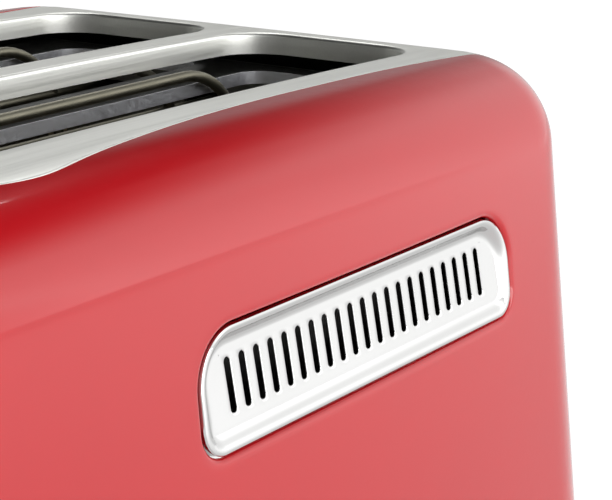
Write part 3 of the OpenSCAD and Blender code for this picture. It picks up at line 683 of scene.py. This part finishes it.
def satin(n, rgb, rough=0.12):
    """Pressed bright sheet with a fine satin haze."""
    n.set(Metallic=1.0)
    haze = n.noise(1800)
    n.tinted(n.noise(60, 2), rgb, dark=0.96, light=1.03)
    n.roughened(haze, rough * 0.85, rough * 1.2)
    n.bumped(haze, strength=0.015, reach=0.00003)


def galvanised(n, rgb, rough=0.42):
    """Plain zinc-coated sheet with soft spangles and heat stains."""
    n.set(Metallic=0.9)
    n.tinted(n.ranged(n.cells(160), 0.0, 0.8, 0.3, 0.8), rgb, dark=0.85, light=1.1)
    n.roughened(n.noise(120), rough * 0.8, rough * 1.25)
    n.bumped(n.noise(700), strength=0.08, reach=0.00008)


def drawn_wire(n, rgb):
    """Bright plated wire, a little tarnished by heat."""
    n.set(Metallic=1.0)
    n.tinted(n.ranged(n.noise(90), 0.35, 0.7, 0.0, 1.0), rgb, dark=1, light=1.25)
    n.roughened(n.noise(300, 2), least=0.42, most=0.5)
    n.bumped(n.noise(1500, 1), strength=0.01, reach=0.00002)


def moulded(n, rgb, rough=0.42, grain=0.2):
    """Moulded plastic with a fine spark-eroded grain."""
    n.set(Specular_IOR_Level=0.5)
    n.tinted(n.noise(45, 2), rgb, dark=0.85, light=1.25)
    pores = n.noise(2600, 2)
    n.roughened(pores, rough * 0.85, rough * 1.2)
    n.bumped(pores, strength=grain, reach=0.00012)


def mica(n, rgb):
    """Pressed mica sheet: pale flakes with a pearly sheen."""
    flakes = n.ranged(n.cells(240), 0.0, 0.7, 0.0, 1.0)
    n.tinted(flakes, rgb, dark=0.8, light=1.15)
    n.roughened(n.noise(500, 2), least=0.4, most=0.6)
    n.bumped(flakes, strength=0.1, reach=0.0001)


def finish_of(name):
    """Finish of a material slot, or of one of the few surfaces that differ from their slot."""
    full_name = name + "_finish"
    if full_name in bpy.data.materials:
        return bpy.data.materials[full_name]
    f = sizes("finishes")
    make, *values = {
        "red_enamel": (enamel, f.red),
        "plate_steel": (brushed, f.plate, 0.45),
        "fascia_steel": (brushed, f.plate, 0.42, "Y"),
        "frame_steel": (satin, (0.85, 0.86, 0.9), 0.42),
        "vent_steel": (satin, f.vent),
        # bare inside sheet, darkened as painted shade
        "inside_with_painted_shade": (galvanised, f.inside),
        "base_plastic": (moulded, f.black, 0.5, 0.3),
        "foot_rubber": (moulded, f.rubber, 0.72, 0.35),
        "tray_steel": (brushed, (0.5, 0.5, 0.49), 0.38, "X", 0.8),
        "chassis_steel": (galvanised, f.sheet_steel, 0.36),
        "carriage_steel": (galvanised, shaded(f.sheet_steel, 1.1), 0.36),
        "mica_board": (mica, (0.55, 0.45, 0.3)),
        "heater_ribbon": (brushed, (0.3, 0.27, 0.24), 0.4),
        "guard_wire": (drawn_wire, f.wire),
        "bright_rod": (drawn_wire, (0.62, 0.62, 0.61)),
        "control_plastic": (moulded, f.black, 0.3, 0.1),
        "pointer_white": (moulded, (0.72, 0.72, 0.7), 0.45, 0.05),
        "magnet_iron": (galvanised, (0.2, 0.21, 0.22), 0.5),
        "coil_copper": (brushed, (0.6, 0.25, 0.1), 0.3, "Z", 2.0),
        "circuit_board": (moulded, (0.03, 0.16, 0.05), 0.35, 0.15),
        "switch_plastic": (moulded, (0.03, 0.03, 0.032), 0.45, 0.2),
    }[name]
    finish = bpy.data.materials.new(full_name)
    make(Finish(finish), *values)
    return finish


# Operators


class TOASTER_OT_body(bpy.types.Operator):
    """Models the painted shell: rolled edges, vent lips, plate seam and hem."""

    bl_idname = "toaster.body"
    bl_label = "Body shell"

    END_STEPS, CORNER_STEPS, SIDE_STEPS = 15, 22, 84
    TOP_START, TOP_POWER = 0.008, 1.5  # the top's rows lie closer together towards the roll
    TOP_STEPS, ROLL_STEPS, FINE_STEPS, WALL_STEPS, PATCH_STEPS = 16, 10, 34, 24, 8
    LOW_TURN = math.radians(35)
    LIP_TURNS = (20, 40, 60, 80, 90)
    # In millimetres: the spine that the top's rows spread from, the edge turned down at the seam,
    # the window cut round a vent, the lip's skirt, and the hem's height and inset
    SPINE = (-20, 72)
    SEAM_DROPS = (2.2, 0.22)
    WINDOW_REACH, WINDOW_ABOVE, WINDOW_BELOW = 50.5, 14.2, 15.2
    LIP_SKIRT = 0.6
    HEM = ((-0.35, 0.3), (-0.35, 0.9), (1.5, 1.1))
    FASCIA_LAP, FASCIA_DEEP = 5, 3

    def columns(self, form):
        """Plan angles round the body, each with its half: 1 towards -Y, -1 towards +Y."""
        end, turn, side = math.pi / 2, form.turn_a, form.side_a
        marks = (-end, -turn, -side, side, turn, end)
        counts = (self.END_STEPS, self.CORNER_STEPS, self.SIDE_STEPS, self.CORNER_STEPS, self.END_STEPS)
        parts = [spread(*part)[:-1] for part in zip(marks, marks[1:], counts)]
        half = [a for part in parts for a in part] + [end]
        return [(a, 1) for a in half] + [(a, -1) for a in reversed(half[1:-1])]

    def upper_rows(self, form, columns):
        """Rows from the seam round the plate, over the top, to well down the roll."""
        seam = grown(plate_outline(), sizes("plate").gap)
        ring = [form.rolled(a, self.LOW_TURN, side) for a, side in columns]
        inner = matched([p[:2] for p in ring], seam, (*(form.mid + x * MM for x in self.SPINE), 0))
        edge = [form.top(*p) for p in inner]
        rows = [[p - Vector((0, 0, d * MM)) for p in edge] for d in self.SEAM_DROPS]
        for left in spread(1, 0, self.TOP_STEPS):
            share = max(self.TOP_START, 1 - left**self.TOP_POWER)
            rows.append([form.top(*between(p, q[:2], share)) for p, q in zip(inner, ring)])
        for turn in spread(self.LOW_TURN, form.p.draft, self.ROLL_STEPS)[1:]:
            rows.append([form.rolled(a, turn, side) for a, side in columns])
        return rows

    def wall_heights(self, form):
        """Heights of the wall's rows: close together across the vents."""
        p, v = form.p, sizes("vent")
        vent_z = p.crest_z - v.drop
        high, low = vent_z + self.WINDOW_ABOVE * MM, vent_z - self.WINDOW_BELOW * MM
        return spread(high, low, self.FINE_STEPS), spread(low, p.shell_low, self.WALL_STEPS)[1:]

    def vent_patch(self, form, angles, heights, side):
        """Skin from the edge of a window in the wall to the vent's hole, and over its lip."""
        lip, place = form.p.lip, vent_frame(form)
        to_local = place.inverted()
        corners = (
            [(a, heights[-1]) for a in angles]
            + [(angles[-1], z) for z in reversed(heights[:-1])]
            + [(a, heights[0]) for a in reversed(angles[:-1])]
            + [(angles[0], z) for z in heights[1:-1]]
        )
        window = [(to_local @ form.wall(a, z))[:2] for a, z in corners]

        def on_wall(x, y):
            spot = place @ Vector((x, y, 0))
            leaned = (form.wall_top(0) - spot.z) * math.tan(form.p.draft)
            out = form.p.side_r + form.roll(0) * math.cos(form.p.draft) + leaned
            return form.wall(math.asin((spot.x - form.mid) / out), spot.z + form.arch(spot.x, spot.z))

        rows = [[form.wall(a, z) for a, z in corners]]
        rim = vent_loop(window, lip)
        for share in spread(0, 1, self.PATCH_STEPS)[1:]:
            rows.append([on_wall(*between(p, q, share)) for p, q in zip(window, rim)])
        out_way = place.to_3x3() @ Vector((0, 0, 1))
        for turn in self.LIP_TURNS:
            t = math.radians(turn)
            line = vent_loop(window, lip * (1 - math.sin(t)))
            rows.append([on_wall(*p) - out_way * lip * (1 - math.cos(t)) for p in line])
        rows.append([p - out_way * self.LIP_SKIRT * MM for p in rows[-1]])
        if side < 0:
            rows = [[Vector((p.x, -p.y, p.z)) for p in row] for row in rows]
        return loft("vent_lip", rows)

    def execute(self, context):
        form, v = BodyForm(), sizes("vent")
        columns = self.columns(form)
        fine, coarse = self.wall_heights(form)
        rows = self.upper_rows(form, columns)
        rows += [[form.wall(a, z, side) for a, side in columns] for z in fine + coarse]
        for up, inset in self.HEM:
            z = form.p.shell_low + up * MM
            rows.append([form.wall(a, z, side, inset * MM) for a, side in columns])
        shell = loft("body_skin", rows)
        reach, lap = self.WINDOW_REACH * MM, self.FASCIA_LAP * MM
        inside = [a for a, side in columns if side > 0 and abs(a) <= form.side_a]
        angles = [a for a in inside if abs(form.wall(a, fine[0]).x - form.mid - v.at) <= reach]
        lo, hi = (form.wall(angles[k], fine[0]).x for k in (0, -1))
        fascia = fascia_frame(form).inverted()
        half_w, half_h = form.p.fascia_w / 2 - lap, form.p.fascia_h / 2 - lap

        def unwanted(c):
            spot = fascia @ c
            if abs(spot.x) < half_h and abs(spot.y) < half_w and abs(spot.z) < self.FASCIA_DEEP * MM:
                return True
            on_side = abs(c.y) > form.p.crest_half and lo < c.x < hi
            return on_side and fine[-1] < c.z + form.arch(c.x, c.z) < fine[0]

        drop_faces(shell, unwanted)
        patches = [self.vent_patch(form, angles, fine, side) for side in (1, -1)]
        shell = faced(joined("body_skin", [shell, *patches]), Vector((form.mid, 0, 0.1)))
        dressed(shell, "housing", "red_enamel", finish_of("red_enamel"), "body_shell")
        # The inner faces get the dark inside finish: bare sheet with painted shade.
        shell.data.materials.append(finish_of("inside_with_painted_shade"))
        modified(shell, "SOLIDIFY", thickness=form.p.sheet, offset=-1, material_offset=1)
        smoothed(shell, 40)
        return {"FINISHED"}


class TOASTER_OT_plate(bpy.types.Operator):
    """Models the top plate: arched sheet, slots with turned-down edges and a turned-down rim."""

    bl_idname = "toaster.plate"
    bl_label = "Top plate"

    STEP, LEAST_STEP = 1.2, 0.2  # distance between the points of an edge, in millimetres
    TURNS = spread(0, math.pi / 2, 5)
    SHEET_STEPS = 6
    FLANGE_SHARE = 0.6  # where the flange's middle row lies

    def execute(self, context):
        form, p = BodyForm(), sizes("plate")
        outline = plate_outline()
        lower = grown(outline, -p.edge_r)[len(outline) // 2 :]
        edge_line = self.tidied(walked([(lower[0][0], 0.0), *lower, (lower[-1][0], 0.0)], self.STEP * MM))
        centre_line = walked([(edge_line[-1][0], 0.0), (edge_line[0][0], 0.0)], self.STEP * MM)[1:-1]
        outer = edge_line + centre_line
        slot_y = -(p.slot_bar + p.slot_w) / 2
        slot_x = form.mid + p.slot_at
        spine = (slot_x - p.slot_len / 2 + p.slot_w / 2, slot_x + p.slot_len / 2 - p.slot_w / 2, slot_y)

        def slot_loop(grow):
            base = round_rect(p.slot_len + 2 * grow, p.slot_w + 2 * grow, p.slot_corner + grow)
            return matched(outer, [(x + slot_x, y + slot_y) for x, y in base], spine)

        def sheet(points, down=0.0):
            return [form.top(x, y) - Vector((0, 0, down)) for x, y in points]

        rows = [sheet(slot_loop(0), p.slot_flange), sheet(slot_loop(0), p.slot_flange * self.FLANGE_SHARE)]
        for t in reversed(self.TURNS):
            rows.append(sheet(slot_loop(p.slot_round * (1 - math.sin(t))), p.slot_round * (1 - math.cos(t))))
        start = slot_loop(p.slot_round)
        for share in spread(0, 1, self.SHEET_STEPS)[1:]:
            rows.append(sheet([between(a, b, share) for a, b in zip(start, outer)]))
        top = loft("plate_half", rows)
        modified(top, "MIRROR", use_axis=(False, True, False), merge_threshold=WELD)
        around = edge_line + [(x, -y) for x, y in reversed(edge_line[1:-1])]
        ways = [Vector((*way, 0)) for way in normals(around)]

        def edge(out, down):
            return [v + way * out for v, way in zip(sheet(around, down), ways)]

        rim = [edge(p.edge_r * math.sin(t), p.edge_r * (1 - math.cos(t))) for t in self.TURNS]
        rim.append(edge(p.edge_r, p.rim))
        plate = joined("top_plate_skin", [top, loft("plate_rim", rim)])
        faced(plate, Vector((form.mid, 0, 0)))
        modified(plate, "SOLIDIFY", thickness=p.sheet, offset=-1, use_even_offset=True)
        smoothed(plate, 40)
        dressed(plate, "housing", "plate_steel", finish_of("plate_steel"), "top_plate")
        return {"FINISHED"}

    def tidied(self, points):
        """Drops points that repeat."""
        kept = [points[0]]
        for p in points[1:]:
            if math.dist(p, kept[-1]) > self.LEAST_STEP * MM:
                kept.append(p)
        return kept


class TOASTER_OT_vents(bpy.types.Operator):
    """Models the two vents: a dish with sloping walls and a floor of round-ended slits."""

    bl_idname = "toaster.vents"
    bl_label = "Side vents"

    LEAN = 0.85
    FLOOR_EDGE = 1.4  # floor beyond the slits' ends, in millimetres
    STEPS = 10  # points along a pitch
    FLAT = 1e-7  # width left flat at a slit's round end, in metres, so that its arcs stay apart
    # Growth and depth of the rows round a slit, and inset and depth of the dish's profile, in millimetres
    SLIT_EDGE = ((0.0, 0.14), (0.0, 0.1), (0.06, 0.03), (0.16, 0.0))
    PROFILE = (
        *((4.1, 1.75), (3.4, 1.75), (2.85, 1.7), (2.45, 1.55), (2.1, 1.26), (1.75, 0.86), (1.45, 0.58)),
        *((1.1, 0.45), (0.75, 0.42), (0.48, 0.52), (0.3, 0.85), (0.3, 2.0), (-3.5, 2.1)),
    )

    def sunk(self, v, x, y, depth):
        """Point at a depth in the vent: the dish leans, and is deepest at the top."""
        return Vector((x, y, -depth * (1 + self.LEAN * y / v.height)))

    def slit_cell(self, v, high):
        """One slit with the floor round it, as wide as the pitch."""
        border = walked_box(v.pitch / 2, high, v.pitch / self.STEPS)
        spine = (v.slit_len - v.slit_w) / 2
        rows = []
        for grow, down in self.SLIT_EDGE:
            grow, below = grow * MM, Vector((0, 0, down * MM))
            # The loop is matched lying on its side, along its spine
            loop = round_rect(v.slit_w + 2 * grow, v.slit_len + 2 * grow, v.slit_w / 2 + grow - self.FLAT)
            across = [[(y, x) for x, y in line] for line in (border, reversed(loop))]
            turned = matched(*across, (-spine, spine, 0))
            rows.append([self.sunk(v, y, x, v.depth) - below for x, y in turned])
        rows.append([self.sunk(v, x, y, v.depth) for x, y in border])
        return loft("slit_cell", rows)

    def execute(self, context):
        form, v = BodyForm(), sizes("vent")
        wide, high = v.slits * v.pitch / 2, (v.slit_len + self.FLOOR_EDGE * MM) / 2
        cell = self.slit_cell(v, high)
        cell.data.transform(Matrix.Translation((-(v.slits - 1) / 2 * v.pitch, 0, 0)))
        modified(
            cell,
            "ARRAY",
            count=v.slits,
            use_relative_offset=False,
            use_constant_offset=True,
            constant_offset_displace=(v.pitch, 0, 0),
            use_merge_vertices=True,
            merge_threshold=WELD,
        )
        border = walked_box(wide, high, v.pitch / self.STEPS)
        rows = [[self.sunk(v, x, y, v.depth) for x, y in border]]
        for inset, down in self.PROFILE:
            rows.append([self.sunk(v, x, y, down * MM) for x, y in vent_loop(border, -inset * MM)])
        dish = joined("vent_dish", [loft("vent_wall", rows), cell])
        faced(dish, Vector((0, 0, -0.5)))
        dish.data.materials.append(finish_of("vent_steel"))
        # The dish's back and its slits' walls get the dark inside finish as painted shade.
        dish.data.materials.append(finish_of("inside_with_painted_shade"))
        inside = {"material_offset": 1, "material_offset_rim": 1}
        modified(dish, "SOLIDIFY", thickness=v.sheet, offset=-1, use_even_offset=True, **inside)
        smoothed(dish, 32)
        other = linked("vent_dish", dish.data.copy())
        for piece, side, node in ((dish, 1, "left_vent_grille"), (other, -1, "right_vent_grille")):
            piece.name = piece.data.name = node + "_skin"
            placed(piece, vent_frame(form, side))
            carried(piece, "housing", "vent_steel", node)
        return {"FINISHED"}


class TOASTER_OT_rounded_parts(bpy.types.Operator):
    """Rounds the sharp edges of the sheet and moulded pieces and gives them their finishes."""

    bl_idname = "toaster.rounded_parts"
    bl_label = "Rounded pieces"

    # Width of the rounded edges, in millimetres
    WIDTHS = {
        "chamber_top_frame": 0.9,
        "control_fascia": 0.4,
        "lever_knob": 2.2,
        "browning_knob": 0.35,
        **dict.fromkeys(("cancel_button", "reheat_button", "defrost_button"), 0.25),
        "crumb_tray_handle": 1.2,
        "crumb_tray": 0.25,
        "base_pan": 0.5,
        "rubber_feet": 0.4,
        "cord_gland": 0.4,
        "base_skirt": 0.5,
        "lever_arm": 0.5,
        **dict.fromkeys(("left_bread_lifter", "right_bread_lifter", "carriage_bracket"), 0.2),
    }
    LEVEL = 0.97  # least upward part of the normal of a face that looks up
    # Sheets whose grain differs from that of their slot
    GRAINS = {"chamber_top_frame": "frame_steel", "control_fascia": "fascia_steel"}

    def stained(self, piece):
        """Gives the faces that look up a second, dark finish: painted shade, since the frame's tops lie in
        shade deep in the slots.
        """
        piece.data.materials.append(finish_of("inside_with_painted_shade"))
        for face in piece.data.polygons:
            face.material_index = int(face.normal.z > self.LEVEL)

    def execute(self, context):
        for node, width in self.WIDTHS.items():
            finish = finish_of(self.GRAINS.get(node, slot_of(node)))
            piece = eased_copy(node, finish, width * MM)
            # The inner frame's tops get painted shade.
            if node == "chamber_top_frame":
                self.stained(piece)
        return {"FINISHED"}


class TOASTER_OT_guards(bpy.types.Operator):
    """Models the bread guards: two rails, uprights and a top wire bent down at both ends."""

    bl_idname = "toaster.guards"
    bl_label = "Bread guards"

    BEND_STEPS, END_STEPS, RUN_STEPS = 12, 4, 8

    def straight(self, start, end, steps=RUN_STEPS):
        return spread(Vector(start), Vector(end), steps)

    def bent(self, lo, hi, low, top, y, r):
        """Path up from the lower rail, along the top and down again, with rounded corners."""

        def arc(x, turn):
            turns = spread(turn, turn - math.pi / 2, self.BEND_STEPS)[1:-1]
            return [Vector((x + r * math.cos(t), y, top - r + r * math.sin(t))) for t in turns]

        return [
            *self.straight((lo, y, low), (lo, y, top - r), self.END_STEPS),
            *arc(lo + r, math.pi),
            *self.straight((lo + r, y, top), (hi - r, y, top)),
            *arc(hi - r, math.pi / 2),
            *self.straight((hi, y, top - r), (hi, y, low), self.END_STEPS),
        ]

    def execute(self, context):
        g, p = sizes("guard"), sizes("plate")
        half = p.slot_len / 2 - g.inset
        mid = sizes("body").mid_x + p.slot_at
        lo, hi = mid - half, mid + half
        for node in [name for name in frame["nodes"] if name.endswith("_guard")]:
            ways = zip(*(v.co for v in frame["nodes"][node].data.vertices))
            (x0, x1), (y0, y1), (z0, z1) = ((min(way), max(way)) for way in ways)
            r, y = g.wire / 2, (y0 + y1) / 2
            low = z0 + r
            paths = [self.bent(lo, hi, low, z1 - r, y, g.bend)]
            paths += [self.straight((x0, y, z), (x1, y, z)) for z in (low, g.high)]
            for x in spread(lo, hi, g.uprights - 1)[1:-1]:
                paths.append(self.straight((x, y, low), (x, y, g.high)))
            guard = smoothed(joined(node + "_wires", [tube(path, r) for path in paths]), 50)
            slot = slot_of(node)
            dressed(guard, body_of(node), slot, finish_of(slot), node)
        return {"FINISHED"}


class TOASTER_OT_dial(bpy.types.Operator):
    """Prints a tick and a plain number for each browning step, and sets the knob's pointer."""

    bl_idname = "toaster.dial"
    bl_label = "Browning scale"

    # Shares of a number's height, slimness of the marks, and the pointer's depth in millimetres
    FIGURE_GAP, FIGURE_WEIGHT = 0.65, 0.02
    TICK_SLIM, POINTER_SLIM = 4, 5.2
    POINTER_DEEP, POINTER_SUNK, POINTER_EDGE = 0.45, 0.15, 0.1

    def front(self, face, node):
        """Height of a solid's front above the fascia's frame."""
        flat = face.inverted()
        return max((flat @ v.co).z for v in frame["nodes"][node].data.vertices)

    def tick(self, d):
        tick = made(bpy.ops.mesh.primitive_plane_add, size=1)
        tick.data.transform(Matrix.Diagonal((d.tick, d.tick / self.TICK_SLIM, 1, 1)))
        return tick

    def number(self, d, figure):
        text = made(bpy.ops.object.text_add).data
        text.body, text.size, text.offset = str(figure), d.figure, d.figure * self.FIGURE_WEIGHT
        text.align_x = text.align_y = "CENTER"
        bpy.ops.object.convert(target="MESH")
        return bpy.context.object

    def execute(self, context):
        d, face = sizes("dial"), fascia_frame(BodyForm())
        centre = Vector((-d.drop, 0, self.front(face, "control_fascia") + d.ink / 2))
        figure_at = d.ring + d.tick / 2 + d.figure * self.FIGURE_GAP
        marks = []
        for step, turn in enumerate(spread(-d.sweep, d.sweep, d.steps - 1), 1):
            way = Vector((math.cos(turn), -math.sin(turn), 0))
            spots = ((self.tick(d), d.ring, turn), (self.number(d, step), figure_at, math.pi / 2))
            for mark, out, spun in spots:
                mark.data.transform(Matrix.Translation(centre + way * out) @ Matrix.Rotation(-spun, 4, "Z"))
                marks.append(mark)
        scale = joined("browning_scale", marks)
        modified(scale, "SOLIDIFY", thickness=d.ink, offset=0)
        placed(scale, face)
        dressed(scale, "housing", "control_plastic", finish_of("control_plastic"))
        self.pointer(d, face)
        return {"FINISHED"}

    def pointer(self, d, face):
        """Pale inlay in the groove across the knob's top."""
        inlay = made(bpy.ops.mesh.primitive_cube_add, size=1)
        inlay.name = inlay.data.name = "browning_pointer"
        deep = self.POINTER_DEEP * MM
        z = self.front(face, "browning_knob") - self.POINTER_SUNK * MM - deep / 2
        inlay.data.transform(Matrix.Diagonal((d.pointer, d.pointer / self.POINTER_SLIM, deep, 1)))
        inlay.data.transform(Matrix.Translation((d.pointer_at - d.drop, 0, z)))
        modified(inlay, "BEVEL", width=self.POINTER_EDGE * MM, segments=2)
        placed(smoothed(inlay), face)
        inlay.data.materials.append(finish_of("pointer_white"))
        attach(inlay, "browning_dial")


class TOASTER_OT_inner_parts(bpy.types.Operator):
    """Gives the pieces that keep their solid shape their finishes."""

    bl_idname = "toaster.inner_parts"
    bl_label = "Inner pieces"

    def execute(self, context):
        for node, solid in frame["nodes"].items():
            if not solid.hide_render:
                solid.data.materials.clear()
                solid.data.materials.append(finish_of(slot_of(node)))
        return {"FINISHED"}


class TOASTER_OT_stage(bpy.types.Operator):
    """Sets the camera, the pale floor and the soft studio light."""

    bl_idname = "toaster.stage"
    bl_label = "Stage"

    # Brightness of the mirrored screens, from the front of the toaster to behind it
    SCREEN = (
        *((-0.95, 0.9), (-0.8, 1.7), (-0.71, 2.6), (-0.65, 2.2), (-0.45, 1.6)),
        *((0, 1.2), (0.26, 0.96), (0.44, 0.36), (0.6, 0.26), (0.85, 0.65)),
    )
    SCREEN_TOP = (0.42, 0.74, 4, 0.06)  # where the screens end above, and what they fall to
    TILT, SIDE_TILT, SIDE_MOST = 0.2, 0.35, 0.45  # how their upper edge falls towards the back
    LEVER_END = (-0.55, 0.15, 0.2, 1)  # how far they dim towards the lever end
    EVEN_LIGHT = 0.24
    FLOOR_SIZE, FLOOR_ROUGH, FLOOR_GLOW, GLOW_SHARE = 12, 0.9, 1.75, 0.5
    FLOOR_MIRRORED = (-0.1, -0.8, 1.35, 3.0)  # its glow in a mirror, brighter towards the front
    AIM = (0, 0, 0.1)
    SENSOR, NEAREST = 36, 0.01  # the camera's sensor in millimetres, and its near clip in metres
    LIGHTS = {
        "front_box": ((-0.1, -1.45, 0.3), 1.6, 0.8, 18.2),
        "top_box": ((0.68, 0.5, 1.36), 0.55, 0.55, 6),
    }

    def floor(self, rgb):
        """Pale paper floor: it keeps the toaster's shadow and reads as near white."""
        floor = made(bpy.ops.mesh.primitive_plane_add, size=self.FLOOR_SIZE)
        floor.name = "floor"
        finish = bpy.data.materials.new("paper_floor")
        floor.data.materials.append(finish)
        n = Tree(finish)
        paper = n.fed(n.found("BSDF_PRINCIPLED"), {"Base Color": (*rgb, 1), "Roughness": self.FLOOR_ROUGH})
        path = n.add("LightPath").outputs
        seen = n.reckoned("MAXIMUM", path["Is Camera Ray"], path["Is Glossy Ray"])
        seen = n.reckoned("MAXIMUM", seen, path["Is Transmission Ray"])
        place = n.add("SeparateXYZ", {0: n.add("TexCoord").outputs["Object"]}).outputs
        mirrored = n.ranged(place["Y"], *self.FLOOR_MIRRORED, "SMOOTHSTEP")
        glow = n.add("Emission", {"Strength": n.blended(path["Is Glossy Ray"], self.FLOOR_GLOW, mirrored)})
        share = n.reckoned("MULTIPLY", seen, self.GLOW_SHARE)
        mix = n.add("MixShader", {0: share, 1: paper.outputs[0], 2: glow.outputs[0]})
        n.fed(n.found("OUTPUT_MATERIAL"), {"Surface": mix.outputs[0]})

    def room(self, world):
        """Dim room with white screens all round, brightest in front, lowest behind, and an even light."""
        n = Tree(world)
        way = n.add("SeparateXYZ", {0: n.add("TexCoord").outputs["Generated"]}).outputs
        across = way["Y"]
        ramp = n.add("ValToRGB", {0: n.reckoned("MULTIPLY_ADD", across, 0.5, 0.5)})
        stops = ramp.color_ramp.elements
        for at, level in self.SCREEN[1:-1]:
            stops.new((at + 1) / 2)
        for stop, (at, level) in zip(stops, self.SCREEN):
            stop.position = (at + 1) / 2
            stop.color = (*[level / self.SCREEN_TOP[2]] * 3, 1)
        side = n.reckoned("MINIMUM", n.reckoned("MAXIMUM", across, 0.0), self.SIDE_MOST)
        rise = n.reckoned("MULTIPLY_ADD", across, self.TILT, way["Z"])
        rise = n.reckoned("MULTIPLY_ADD", side, self.SIDE_TILT, rise)
        top = n.ranged(rise, *self.SCREEN_TOP, "SMOOTHSTEP")
        lever_end = n.ranged(way["X"], *self.LEVER_END, "SMOOTHSTEP")
        mirrored = n.reckoned("MULTIPLY", n.reckoned("MULTIPLY", ramp.outputs[0], top), lever_end)
        path = n.add("LightPath").outputs
        lit = n.blended(path["Is Glossy Ray"], self.EVEN_LIGHT, mirrored)
        plain = n.reckoned("MAXIMUM", path["Is Camera Ray"], path["Is Transmission Ray"])
        n.fed(n.found("BACKGROUND"), {"Color": (1, 1, 1, 1), "Strength": n.blended(plain, lit, 1.0)})

    def aimed(self, data, place, way):
        """Puts a lamp or a camera at a place so that it looks along the given way."""
        piece = linked(data.name, data)
        piece.location = place
        piece.rotation_euler = way.to_track_quat("-Z", "Y").to_euler()
        return piece

    def softbox(self, name, place, wide, tall, power):
        light = bpy.data.lights.new(name, "AREA")
        light.shape = "RECTANGLE"
        light.size, light.size_y, light.energy = wide, tall, power
        self.aimed(light, place, Vector(self.AIM) - Vector(place))

    def execute(self, context):
        s = sizes("stage")
        self.floor(s.floor)
        context.scene.world = bpy.data.worlds.new("studio")
        self.room(context.scene.world)
        for name, facts in self.LIGHTS.items():
            self.softbox(name, *facts)
        lens = bpy.data.cameras.new("camera")
        lens.lens, lens.sensor_width, lens.clip_start = s.lens, self.SENSOR, self.NEAREST
        flat = math.cos(s.pitch)
        way = Vector((flat * math.cos(s.yaw), flat * math.sin(s.yaw), -math.sin(s.pitch)))
        context.scene.camera = self.aimed(lens, s.eye, way)
        context.scene.view_settings.view_transform = "Standard"
        return {"FINISHED"}


class TOASTER_PT_panel(bpy.types.Panel):
    """Lists the toaster's pieces in the sidebar."""

    bl_idname = "TOASTER_PT_panel"
    bl_label = "Toaster"
    bl_space_type = "VIEW_3D"
    bl_region_type = "UI"
    bl_category = "Toaster"

    def draw(self, context):
        for operator in OPERATORS:
            self.layout.operator(operator.bl_idname)
        for name in GROUPS:
            group = getattr(context.scene, "toaster_" + name)
            box = self.layout.box()
            for key in group.__annotations__:
                box.prop(group, key)


OPERATORS = (
    TOASTER_OT_stage,
    TOASTER_OT_body,
    TOASTER_OT_plate,
    TOASTER_OT_vents,
    TOASTER_OT_rounded_parts,
    TOASTER_OT_guards,
    TOASTER_OT_dial,
    TOASTER_OT_inner_parts,
)
GROUPS = {
    "body": BodySizes,
    "plate": PlateSizes,
    "vent": VentSizes,
    "guard": GuardSizes,
    "dial": DialSizes,
    "finishes": Finishes,
    "stage": StageSizes,
}


def register():
    for kind in (*GROUPS.values(), *OPERATORS, TOASTER_PT_panel):
        bpy.utils.register_class(kind)
    for name, group in GROUPS.items():
        setattr(bpy.types.Scene, "toaster_" + name, PointerProperty(type=group))


def unregister():
    for name in GROUPS:
        delattr(bpy.types.Scene, "toaster_" + name)
    for kind in reversed((*GROUPS.values(), *OPERATORS, TOASTER_PT_panel)):
        bpy.utils.unregister_class(kind)


def main():
    register()
    for operator in OPERATORS:
        group, name = operator.bl_idname.split(".")
        getattr(getattr(bpy.ops, group), name)()
    deselect()


if __name__ == "__main__":
    main()
